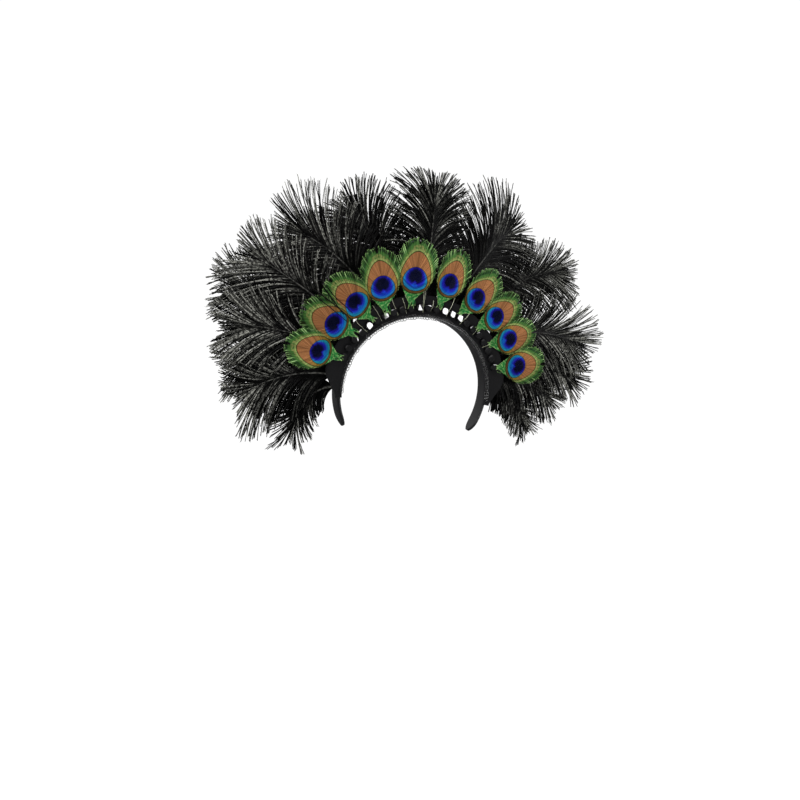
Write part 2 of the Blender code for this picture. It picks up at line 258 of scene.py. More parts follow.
class BandSettings(bpy.types.PropertyGroup):
    """Sizes and colours of the band, the felt and the trim"""
    satin: colour_property("Satin", "#0d0d0f", "Covered band")
    felt: colour_property("Felt", "#060606", "Wool felt")
    trim: colour_property("Trim", "#0e0e10", "Looped braid")
    thread_pitch: length_property("Thread pitch", 0.0004, "Satin weave, drawn coarse")
    fibre_length: length_property("Fibre length", 0.0011, "Loose fibres of the felt")
    fibres: IntProperty(
        name="Fibres", description="Loose fibres for each square metre of felt",
        default=200000, min=0, max=2000000)
    loop_pitch: length_property("Loop pitch", 0.0029, "Step between the trim's loops")
    loop_height: length_property("Loop height", 0.0044, "Height of a loop of the trim")
    loop_width: length_property("Loop width", 0.0034, "Width of a loop of the trim")
    loop_cord: length_property("Loop cord", 0.00032, "Half thickness of the trim's cord")
    seed: IntProperty(name="Seed", description="Seed of fibres and loops", default=31)


class StudioSettings(bpy.types.PropertyGroup):
    """Camera, lights and floor"""
    azimuth: angle_property(
        "Azimuth", -30, "Turn of the camera about the object", least=-180, most=180)
    roll: angle_property(
        "Roll", 3.02, "Turn of the camera about its own axis", least=-180, most=180)
    distance: length_property("Distance", 1.3, "From the camera to its target")
    lens: FloatProperty(
        name="Lens", description="Focal length on a 36 mm sensor, in millimetres",
        default=58.5, min=10.0, max=300.0)
    floor_drop: length_property("Floor drop", 0.95, "Floor below the crown")
    sky: FloatProperty(
        name="Sky", description="Brightness of the white room",
        default=0.5, min=0.0, max=5.0)
    paper: colour_property("Paper", "#f7f7f5", "Floor")


# Shared tools

def add_node(tree, kind, inputs=None, **settings):
    """Add a node, make its settings, then fill its inputs or link them. A node
    given for an input stands for its first output, a list for several links,
    and a colour is given full alpha."""
    node = tree.nodes.new(kind)
    for name, value in settings.items():
        setattr(node, name, value)
    for key, value in (inputs or {}).items():
        socket = node.inputs[key]
        for source in value if isinstance(value, list) else [value]:
            if isinstance(source, bpy.types.Node):
                source = source.outputs[0]
            if isinstance(source, bpy.types.NodeSocket):
                tree.links.new(source, socket)
            else:
                socket.default_value = opaque(source) if isinstance(source, Color) else source
    return node


def new_material(name):
    """Node material with nothing in it yet; returns it and its tree."""
    material = bpy.data.materials.new(name)
    material.use_nodes = True
    material.node_tree.nodes.clear()
    return material, material.node_tree


def end_material(tree, values):
    """End a material with a shader of these values and its output."""
    shader = add_node(tree, "ShaderNodeBsdfPrincipled", values)
    add_node(tree, "ShaderNodeOutputMaterial", {"Surface": shader})


def grain(tree, size, detail=2.0):
    """Noise on a piece's own coordinates, its grains this many metres wide."""
    place = add_node(tree, "ShaderNodeTexCoord")
    return add_node(tree, "ShaderNodeTexNoise", {
        "Vector": place.outputs["Object"], "Scale": 1 / size, "Detail": detail})


def opaque(colour):
    """Colour with full alpha, as sockets take it."""
    return (*colour, 1.0)


def smooth(share):
    """Ease from 0 to 1 with level ends."""
    share = np.clip(share, 0.0, 1.0)
    return share * share * (3 - 2 * share)


def smooth_table(places, values, at):
    """Smooth curve through a table's rows, read at these places."""
    places = np.asarray(places, float)
    values = np.asarray(values, float)
    slopes = np.gradient(values, places)
    row = np.clip(np.searchsorted(places, at, side="right") - 1, 0, len(places) - 2)
    width = places[row + 1] - places[row]
    share = np.clip((at - places[row]) / width, 0.0, 1.0)
    left = (1 + 2 * share) * (1 - share) ** 2 * values[row]
    left_slope = share * (1 - share) ** 2 * width * slopes[row]
    right = share ** 2 * (3 - 2 * share) * values[row + 1]
    right_slope = share ** 2 * (share - 1) * width * slopes[row + 1]
    return left + left_slope + right + right_slope


def arch_radius(angle, offset):
    """Radius at an angle of the arch's inner oval, grown by an offset."""
    return 1 / np.hypot(np.sin(angle) / (HEAD_HALF_WIDTH + offset),
                        np.cos(angle) / (HEAD_RISE + offset))


def on_fan(angle, radius, front):
    """Fan frame points of polar places, this far in front of the middle."""
    across = radius * np.sin(angle)
    up = radius * np.cos(angle) - HEAD_RISE
    return np.stack(np.broadcast_arrays(across, -np.asarray(front), up), axis=-1)


def polar_of(points):
    """Angle and radius of fan frame points."""
    up = points[..., 2] + HEAD_RISE
    return np.arctan2(points[..., 0], up), np.hypot(points[..., 0], up)


def towards(angle):
    """Unit vectors across the fan at angles from straight up."""
    return np.stack((np.sin(angle), np.zeros_like(angle), np.cos(angle)), axis=-1)


def to_row(points):
    """Fan frame points in the row frame, leaned forward as the band is."""
    lean = math.radians(BAND_LEAN_DEG)
    turned = np.array(points, float)
    y, z = points[..., 1], points[..., 2]
    turned[..., 1] = y * math.cos(lean) - z * math.sin(lean)
    turned[..., 2] = y * math.sin(lean) + z * math.cos(lean)
    return turned


def layer_front(layer, angle, radius):
    """How far in front of the middle a plume's layer lies at a place."""
    from_band = (radius - arch_radius(angle, BAND_THICKNESS)) / PLUME_LENGTH
    parting = LAYER_STEP * layer * smooth(from_band / LAYER_RAMP)
    curl = LAYER_CURL[layer] * np.maximum(0.0, from_band) ** 2
    return BAND_FRONT - QUILL_DEPTH / 2 - parting - curl


def mesh_from(name, points, edges=(), faces=()):
    """Mesh of these points, edges and faces."""
    mesh = bpy.data.meshes.new(name)
    mesh.from_pydata([tuple(p) for p in points], [tuple(e) for e in edges],
                     [tuple(f) for f in faces])
    return mesh


def give(mesh, name, values):
    """Store one number or vector for each point of a mesh."""
    values = np.asarray(values, np.float32)
    vector = values.ndim == 2
    kind = "FLOAT_VECTOR" if vector else "FLOAT"
    attribute = mesh.attributes.new(name, kind, "POINT")
    attribute.data.foreach_set("vector" if vector else "value", values.ravel())


def strand_mesh(name, paths, **values):
    """Mesh of open lines, one for each path of as many points each, with the
    values that its points carry."""
    count, length = paths.shape[:2]
    first = np.arange(count * length).reshape(count, length)
    edges = np.stack((first[:, :-1], first[:, 1:]), axis=-1).reshape(-1, 2)
    mesh = mesh_from(name, paths.reshape(-1, 3), edges=edges)
    for key, value in values.items():
        shape = (count, length, 3) if np.ndim(value) == 3 else (count, length)
        flat = np.broadcast_to(value, shape)
        give(mesh, key, flat.reshape(-1, 3) if len(shape) == 3 else flat.ravel())
    return mesh


def sweep_mesh(name, rings):
    """Closed body through rings of as many points each."""
    count, around = rings.shape[:2]
    faces = []
    for station in range(count - 1):
        here = station * around
        for i in range(around):
            j = (i + 1) % around
            faces.append((here + i, here + j, here + around + j, here + around + i))
    faces.append(tuple(range(around)))
    faces.append(tuple(reversed(range((count - 1) * around, count * around))))
    mesh = mesh_from(name, rings.reshape(-1, 3), faces=faces)
    shape = bmesh.new()
    shape.from_mesh(mesh)
    bmesh.ops.recalc_face_normals(shape, faces=shape.faces)
    shape.to_mesh(mesh)
    shape.free()
    return mesh


def add_object(name, mesh):
    """Put a mesh into the scene at the origin."""
    piece = bpy.data.objects.new(name, mesh)
    bpy.context.scene.collection.objects.link(piece)
    return piece


def finish_piece(piece, slot, *nodes):
    """Tie a finished piece to the frame and hide the model's nodes that it stands for. The slot
    is not used.
    """
    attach(piece, BODY)
    if nodes:
        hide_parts(*nodes)


def new_tree(name, inputs, carried):
    """Geometry tree with these named inputs beside its geometry. Returns it
    with the sockets of its inputs and of what its points carry, by name."""
    tree = bpy.data.node_groups.new(name, "GeometryNodeTree")
    tree.interface.new_socket("Geometry", in_out="OUTPUT", socket_type="NodeSocketGeometry")
    tree.interface.new_socket("Geometry", in_out="INPUT", socket_type="NodeSocketGeometry")
    for label, kind in inputs.items():
        tree.interface.new_socket(label, in_out="INPUT", socket_type=f"NodeSocket{kind}")
    given = dict(add_node(tree, "NodeGroupInput").outputs.items())
    for label, kind in carried.items():
        given[label] = add_node(tree, "GeometryNodeInputNamedAttribute", {"Name": label},
                                data_type=kind).outputs[0]
    return tree, given


def close_tree(tree, pieces, material):
    """End a geometry tree: its pieces joined, made real and given the material."""
    both = add_node(tree, "GeometryNodeJoinGeometry", {0: pieces})
    real = add_node(tree, "GeometryNodeRealizeInstances", {0: both})
    done = add_node(tree, "GeometryNodeSetMaterial", {"Geometry": real, "Material": material})
    add_node(tree, "NodeGroupOutput", {0: done})


def grow(name, source, tree, values, spare=()):
    """Run a geometry tree on a source mesh and keep the result as a plain mesh."""
    piece = add_object(name, source)
    modifier = piece.modifiers.new("Grow", "NODES")
    modifier.node_group = tree
    for item in tree.interface.items_tree:
        if item.in_out == "INPUT" and item.name in values:
            modifier[item.identifier] = values[item.name]
    bpy.context.view_layer.update()
    depsgraph = bpy.context.evaluated_depsgraph_get()
    mesh = bpy.data.meshes.new_from_object(
        piece.evaluated_get(depsgraph), preserve_all_data_layers=True,
        depsgraph=depsgraph)
    piece.modifiers.clear()
    piece.data = mesh
    mesh.name = name
    bpy.data.meshes.remove(source)
    for attribute in spare:
        if attribute in mesh.attributes:
            mesh.attributes.remove(mesh.attributes[attribute])
    return piece


# Ostrich plumes

# Width of the broken grey flecks along the barbs, painted highlights that stand for glints
GLINT_FLECK_SIZE = 0.00238


def plume_material(settings):
    """Dyed ostrich feather: fibrous keratin, matt black. Some barbs carry grey in their colour:
    partly barbs that took less dye, partly painted highlights, broken into flecks as painted
    glints along the strands."""
    material, tree = new_material("dyed_ostrich_feather")
    tone = add_node(tree, "ShaderNodeAttribute", attribute_name="tone")
    share = add_node(tree, "ShaderNodeMapRange",
                     {"Value": tone.outputs["Fac"], "From Min": 0.16, "From Max": 1.0})
    # Painted glints: the grey is broken into flecks along the barbs
    glint_fleck = add_node(tree, "ShaderNodeMapRange", {
        "Value": grain(tree, GLINT_FLECK_SIZE), "From Min": 0.40, "From Max": 0.62,
        "To Min": 0.15, "To Max": 1.7})
    faded_and_glint = add_node(tree, "ShaderNodeMath", {0: share, 1: glint_fleck},
                     operation="MULTIPLY", use_clamp=True)
    colour = add_node(tree, "ShaderNodeMix", {0: faded_and_glint, 6: settings.colour, 7: settings.dust_and_glint_grey},
                      data_type="RGBA")
    end_material(tree, {"Base Color": colour.outputs[2], "Roughness": 0.40, "IOR": 1.55,
                        "Specular IOR Level": 0.07})
    return material


def feather_tree():
    """Geometry tree that turns strand lines into barbs with down on them."""
    tree, given = new_tree("Barbs and Barbules", {
        "Barb Radius": "Float", "Barbule Length": "Float", "Barbule Radius": "Float",
        "Barbule Step": "Float", "Barbule Lean": "Float", "Face": "Vector", "Seed": "Int",
        "Material": "Material"},
        {"thickness": "FLOAT", "heading": "FLOAT_VECTOR", "fluff": "FLOAT"})
    lines = add_node(tree, "GeometryNodeMeshToCurve", {"Mesh": given["Geometry"]})
    radius = add_node(tree, "ShaderNodeMath",
                      {0: given["thickness"], 1: given["Barb Radius"]}, operation="MULTIPLY")
    profile = add_node(tree, "GeometryNodeCurvePrimitiveCircle",
                       {"Resolution": 3, "Radius": 1.0})
    barbs = add_node(tree, "GeometryNodeCurveToMesh", {
        "Curve": lines, "Profile Curve": profile, "Scale": radius, "Fill Caps": True})
    barbs = add_node(tree, "GeometryNodeSetShadeSmooth", {"Geometry": barbs})

    stations = add_node(tree, "GeometryNodeResampleCurve",
                        {"Curve": lines, "Length": given["Barbule Step"]}, mode="LENGTH")
    down = add_node(tree, "GeometryNodeMeshCone", {
        "Vertices": 3, "Radius Top": 0.0, "Radius Bottom": given["Barbule Radius"],
        "Depth": given["Barbule Length"]})
    scatter = add_node(tree, "FunctionNodeRandomValue", {
        0: (-0.75, -0.75, -0.75), 1: (0.75, 0.75, 0.75), "Seed": given["Seed"]},
        data_type="FLOAT_VECTOR")
    coin = add_node(tree, "FunctionNodeRandomValue", {"Seed": given["Seed"]},
                    data_type="BOOLEAN")
    turn = add_node(tree, "ShaderNodeMapRange",
                    {"Value": coin.outputs[3], "To Min": -1.0, "To Max": 1.0})
    face = add_node(tree, "ShaderNodeVectorMath", {0: given["Face"], "Scale": turn},
                    operation="SCALE")
    around = add_node(tree, "ShaderNodeVectorMath", {0: face, 1: scatter}, operation="ADD")
    sideways = add_node(tree, "ShaderNodeVectorMath", {0: given["heading"], 1: around},
                        operation="CROSS_PRODUCT")
    sideways = add_node(tree, "ShaderNodeVectorMath", {0: sideways}, operation="NORMALIZE")
    lean = add_node(tree, "ShaderNodeMath", {0: given["Barbule Lean"]}, operation="TANGENT")
    out = add_node(tree, "ShaderNodeVectorMath", {0: sideways, "Scale": lean},
                   operation="SCALE")
    aim = add_node(tree, "ShaderNodeVectorMath", {0: given["heading"], 1: out},
                   operation="ADD")
    turned = add_node(tree, "FunctionNodeAlignRotationToVector", {"Vector": aim}, axis="Z")
    vary = add_node(tree, "FunctionNodeRandomValue",
                    {2: 0.65, 3: 1.15, "Seed": given["Seed"]}, data_type="FLOAT")
    scale = add_node(tree, "ShaderNodeMath", {0: given["fluff"], 1: vary.outputs[1]},
                     operation="MULTIPLY")
    downy = add_node(tree, "FunctionNodeCompare", {0: given["fluff"], 1: 0.05},
                     data_type="FLOAT", operation="GREATER_THAN")
    barbules = add_node(tree, "GeometryNodeInstanceOnPoints", {
        "Points": stations, "Selection": downy, "Instance": down, "Rotation": turned,
        "Scale": scale})
    close_tree(tree, [barbs, barbules], given["Material"])
    return tree


def quill_places(row, along):
    """Places on a plume's quill in the fan's plane."""
    root = math.radians(row.root_deg)
    sweep = math.radians(row.tip_deg) - root
    start = arch_radius(root, BAND_THICKNESS + QUILL_START)
    radius = start + row.length * PLUME_LENGTH * along
    return on_fan(root + sweep * np.maximum(along, 0) ** PLUME_SWEEP_POWER, radius, 0.0)


def quill_headings(row, along):
    """Angles from straight up in which a quill runs."""
    reach = 0.01
    step = (quill_places(row, np.minimum(along + reach, 1.0))
            - quill_places(row, np.maximum(along - reach, 0.0)))
    return np.arctan2(step[..., 0], step[..., 2])


def on_layer(points, layer, lift=0.0):
    """Points in the fan's plane moved onto a plume's layer."""
    angle, radius = polar_of(points)
    lifted = np.array(points)
    lifted[..., 1] = -(layer_front(layer, angle, radius) + lift)
    return lifted


# A plume's barbs: points on each, the first ones' share along the quill, where
# between two steps a barb may stand, how the fine and the broad ones crowd to
# the tip or the root, the bend as a share of a barb, how much of its angle a
# barb leaves the quill with, how its end swings over to its clump, and how far
# the quill stops short of the plume
BARB_POINTS = 8
BARB_FIRST = 0.055
BARB_JITTER = (0.2, 0.8)
FINE_CROWDING = 0.9
BROAD_CROWDING = 1.5
GATHER_POWER = 1.5
BARB_ELBOW = 0.50
BARB_LEAVE = 0.50
QUILL_SHORT = 0.16

# Fan of barbs past the quill's end: how many, how much of their angle they
# leave it with, and the scatter of their angles, reach and roots
END_BARBS = 35
END_LEAVE = 0.3
END_TURN = 0.05
END_REACH = (0.82, 1.04)
END_ROOTS = 0.06

# How an open plume differs from a dense one, as shares: wider pitch of its
# fine and broad barbs, shorter broad barbs, more grey of faded barbs and of
# painted highlights, steeper barbs
OPEN_FINE_PITCH = 0.2
OPEN_PITCH = 0.6
OPEN_REACH = 0.34
OPEN_DUST_AND_GLINT = 0.26
OPEN_SWEEP = 0.28

# Scatter of clumps and of single barbs: length as shares, angle in degrees
CLUMP_LENGTH = 0.03
BARB_LENGTH = (-0.12, 0.02)
CLUMP_TURN_DEG = 2.2
BARB_TURN_DEG = 1.5

# Tone of the barbs, 0 black and 1 the grey of faded barbs and painted
# highlights: a clump's own, and the faded barbs and painted highlights that
# grow along the quill, on the fan's barbs and, little, on the broad ones
CLUMP_TONE = (0.04, 0.08)
DUST_AND_GLINT = 0.20
DUST_AND_GLINT_AT_ROOT = 0.06
DUST_AND_GLINT_GAIN = 1.45
END_DUST_AND_GLINT = 0.25
UNDER_DUST_AND_GLINT = 0.1
TONE_AT_ROOT = 0.2
TONE_RISE_SHARE = 0.5
QUILL_TONE = 0.28

# Run of a barb: how far the feather behind lies back, the bend of its tip, the
# turn and height of its waves, its scatter out of the fan's plane and its sag;
# then its thickness and the length of the down on it
UNDER_SET_BACK = 0.0012
TIP_BEND = 0.045
WAVE_TURN = 5.0
WAVE_HEIGHT = 0.012
LOFT_SPREAD = 0.5
LOFT_POWER = 1.4
SAG_SPREAD = (0.5, 1.5)
FINE_TAPER = 0.25
BROAD_TAPER = 0.45
THICKNESS_SPREAD = (0.8, 1.2)
FLUFF_SPREAD = (0.8, 1.1)
FLUFF_AT_ROOT = 0.35
FLUFF_RISE = 4
FLUFF_LOSS = 0.35


def barb_curves(row, along, end, heading, leave):
    """Curves from a plume's quill to the barbs' ends. Barbs that end at a share
    along the plume leave the quill before it, so that the last ones fan out
    past the quill's own end."""
    share = np.linspace(0.0, 1.0, BARB_POINTS)[None, :, None]
    foot = along * (1 - QUILL_SHORT * along)
    root = quill_places(row, foot)[:, None, :]
    reach = np.linalg.norm(end[:, None, :] - root, axis=-1, keepdims=True)
    elbow = root + towards(heading + leave)[:, None, :] * reach * BARB_ELBOW
    return ((1 - share) ** 2 * root + 2 * share * (1 - share) * elbow
            + share ** 2 * end[:, None, :])


def barb_lines(row, settings, rng, pitch, shares, crowding):
    """Barbs of one feather in the fan's plane, on both sides of its quill, and
    the tone of each. Their ends close up in clumps. Their lengths are shares
    along the quill, and crowding sets more of them near its root."""
    count = int(row.length * PLUME_LENGTH * (1 - BARB_FIRST) / pitch)
    share = np.linspace(0.0, 1.0, BARB_POINTS)
    crown_side = -1 if row.tip_deg > 0 else 1
    paths, tones = [], []
    for side in (-1, 1):
        number = np.arange(count)
        along = (number + rng.uniform(*BARB_JITTER, count)) / count
        along = BARB_FIRST + (1 - BARB_FIRST) * along ** crowding
        group = (number + rng.integers(0, 2, count)) // settings.clump
        groups = group.max() + 1
        middle = np.bincount(group, along, groups) / np.maximum(np.bincount(group), 1)
        locks = row.crown_locks if side == crown_side else row.outer_locks
        length = (LOCK_LENGTH * locks * smooth_table(LOCK_ALONG, shares, along)
                  * (1 + rng.normal(0, CLUMP_LENGTH, groups)[group]
                     + rng.uniform(*BARB_LENGTH, count)))
        spread = LOCK_ROOT_DEG + (LOCK_TIP_DEG - LOCK_ROOT_DEG) * along
        spread = spread * (1 - OPEN_SWEEP * row.openness)
        spread = (spread + rng.normal(0, CLUMP_TURN_DEG, groups)[group]
                  + rng.normal(0, BARB_TURN_DEG, count))
        heading = quill_headings(row, along)
        spread = side * np.radians(spread)
        end = quill_places(row, along) + towards(heading + spread) * length[:, None]
        path = barb_curves(row, along, end, heading, BARB_LEAVE * spread)
        shift = quill_places(row, middle[group]) - quill_places(row, along)
        gather = settings.gather * share ** GATHER_POWER
        path = path + shift[:, None, :] * gather[None, :, None]
        paths.append(path)
        # More painted highlight grey, with some faded barbs, towards the tip and on open plumes
        dust_and_glint = (DUST_AND_GLINT + OPEN_DUST_AND_GLINT * row.openness) * (DUST_AND_GLINT_AT_ROOT + DUST_AND_GLINT_GAIN * along)
        tones.append(np.clip(rng.normal(*CLUMP_TONE, groups)[group]
                             + rng.exponential(dust_and_glint), 0, 1))
    return np.concatenate(paths), np.concatenate(tones)


def tip_lines(row, rng):
    """Fan of barbs past the end of a quill."""
    angle = np.radians(np.linspace(-LOCK_TIP_DEG, LOCK_TIP_DEG, END_BARBS))
    angle = angle + rng.normal(0, END_TURN, END_BARBS)
    reach = END_LOCK + (LOCK_SHARE[-1] - END_LOCK) * np.abs(angle) / angle.max()
    reach = reach * rng.uniform(*END_REACH, END_BARBS)
    along = 1.0 - rng.uniform(0, END_ROOTS, END_BARBS)
    heading = quill_headings(row, along)
    end = (quill_places(row, np.ones(END_BARBS))
           + towards(heading + angle) * (LOCK_LENGTH * reach)[:, None])
    return barb_curves(row, along, end, heading, END_LEAVE * angle)


def plume_strands(row, settings, rng):
    """Lines of a plume's barbs with what their points carry: the front
    feather's fine barbs with down on them, and the broad plain barbs of the
    feather behind it, both sparser in an open plume."""
    fine, fine_tone = barb_lines(
        row, settings, rng, settings.barb_pitch * (1 + OPEN_FINE_PITCH * row.openness),
        LOCK_SHARE, FINE_CROWDING)
    broad, broad_tone = barb_lines(
        row, settings, rng, settings.under_pitch * (1 + OPEN_PITCH * row.openness),
        np.array(UNDER_SHARE) * (1 - OPEN_REACH * row.openness), BROAD_CROWDING)
    tips = tip_lines(row, rng)
    path = np.concatenate((fine, tips, broad))
    tone = np.concatenate((fine_tone, rng.exponential(END_DUST_AND_GLINT, len(tips)),
                           UNDER_DUST_AND_GLINT * broad_tone))
    total = len(path)
    behind = np.arange(total) >= len(fine) + len(tips)
    share = np.linspace(0.0, 1.0, BARB_POINTS)

    length = np.linalg.norm(path[:, -1] - path[:, 0], axis=-1)
    last = path[:, -1] - path[:, -3]
    sideways = np.stack((last[:, 2], np.zeros(total), -last[:, 0]), axis=-1)
    sideways = sideways / np.linalg.norm(sideways, axis=-1, keepdims=True)
    bend = (rng.normal(0, TIP_BEND, total) * length)[:, None] * share[None, :] ** 3
    path = path + bend[..., None] * sideways[:, None, :]
    phase = rng.uniform(0, 2 * math.pi, total)
    waves = (np.sin(phase[:, None] + share[None, :] * WAVE_TURN) * share[None, :]
             * WAVE_HEIGHT)
    loft = (rng.normal(0, LOFT_SPREAD, total)[:, None] * share[None, :] ** LOFT_POWER
            * settings.loft)
    front = (loft * (length / LOCK_LENGTH)[:, None] + waves * length[:, None]
             - UNDER_SET_BACK * behind[:, None])
    path = to_row(on_layer(path, row.layer, front))
    level = np.hypot(path[:, -1, 0] - path[:, 0, 0], path[:, -1, 1] - path[:, 0, 1])
    drop = settings.sag * rng.uniform(*SAG_SPREAD, total) * level
    path[..., 2] -= drop[:, None] * share[None, :] ** 2

    heading = np.gradient(path, axis=1)
    heading = heading / np.linalg.norm(heading, axis=-1, keepdims=True)
    broadness = np.where(behind, settings.under_radius / settings.barb_radius, 1.0)
    taper = np.where(behind, BROAD_TAPER, FINE_TAPER)[:, None] * share[None, :]
    thickness = (1 - taper) * (broadness * rng.uniform(*THICKNESS_SPREAD, total))[:, None]
    fluff = (np.minimum(1.0, FLUFF_AT_ROOT + FLUFF_RISE * share)
             * (1 - FLUFF_LOSS * share ** 2))[None, :]
    fluff = fluff * np.where(behind, 0.0, rng.uniform(*FLUFF_SPREAD, total))[:, None]
    tone = tone[:, None] * smooth(TONE_AT_ROOT + share / TONE_RISE_SHARE)[None, :]
    return path, thickness, heading, fluff, tone


QUILL_SIDES = 6
QUILL_POINTS = 40


def quill_mesh(row):
    """Tapered quill of a plume: oval, on its layer, closed at both ends."""
    along = np.linspace(0.0, 1.0 - QUILL_SHORT, QUILL_POINTS)
    width = QUILL_WIDTH + (QUILL_TIP_WIDTH - QUILL_WIDTH) * along
    place = on_layer(quill_places(row, along), row.layer)
    sideways = towards(quill_headings(row, along) + math.pi / 2)
    turn = 2 * np.pi * np.arange(QUILL_SIDES) / QUILL_SIDES
    flat = sideways[:, None, :] * (width[:, None] / 2 * np.cos(turn)[None, :])[..., None]
    depth = np.array((0.0, -1.0, 0.0)) * (width[:, None] * QUILL_DEPTH / QUILL_WIDTH / 2
                                          * np.sin(turn)[None, :])[..., None]
    mesh = sweep_mesh("quill", to_row(place[:, None, :] + flat + depth))
    mesh.shade_smooth()
    return mesh


def join_mesh(piece, mesh):
    """Join a further mesh into a piece's own."""
    with bpy.context.temp_override(
            active_object=piece,
            selected_editable_objects=[piece, add_object("joining", mesh)]):
        bpy.ops.object.join()


class HEADBAND_OT_plumes(bpy.types.Operator):
    """Grow the black ostrich plumes, barb by barb"""
    bl_idname = "headband.plumes"
    bl_label = "Ostrich plumes"

    def execute(self, context):
        settings = context.scene.headband_plumes
        material = plume_material(settings)
        tree = feather_tree()
        face = to_row(np.array((0.0, -1.0, 0.0)))
        for number, row in enumerate(PLUMES):
            rng = np.random.default_rng(settings.seed + number)
            path, thickness, heading, fluff, tone = plume_strands(row, settings, rng)
            source = strand_mesh(row.name, path, thickness=thickness, heading=heading,
                                 fluff=fluff, tone=tone)
            piece = grow(f"ostrich_{row.name}", source, tree, {
                "Barb Radius": settings.barb_radius,
                "Barbule Length": settings.barbule_length,
                "Barbule Radius": settings.barbule_radius,
                "Barbule Step": settings.barbule_step,
                "Barbule Lean": settings.barbule_lean,
                "Face": tuple(face), "Seed": settings.seed + number,
                "Material": material}, spare=("thickness", "heading", "fluff"))
            quill = quill_mesh(row)
            quill.materials.append(material)
            give(quill, "tone", np.full(len(quill.vertices), QUILL_TONE))
            join_mesh(piece, quill)
            finish_piece(piece, "ostrich", row.name)
        return {"FINISHED"}


# Peacock feathers

# Patches of the mottled parts in millimetres, and how much narrower the ovals
# grow for each millimetre above the spot
PATCH_MM = 2.22
EGG_TAPER = 0.012

# Width of the mottling along the pale stems
STEM_MOTTLE_SIZE = 0.00455


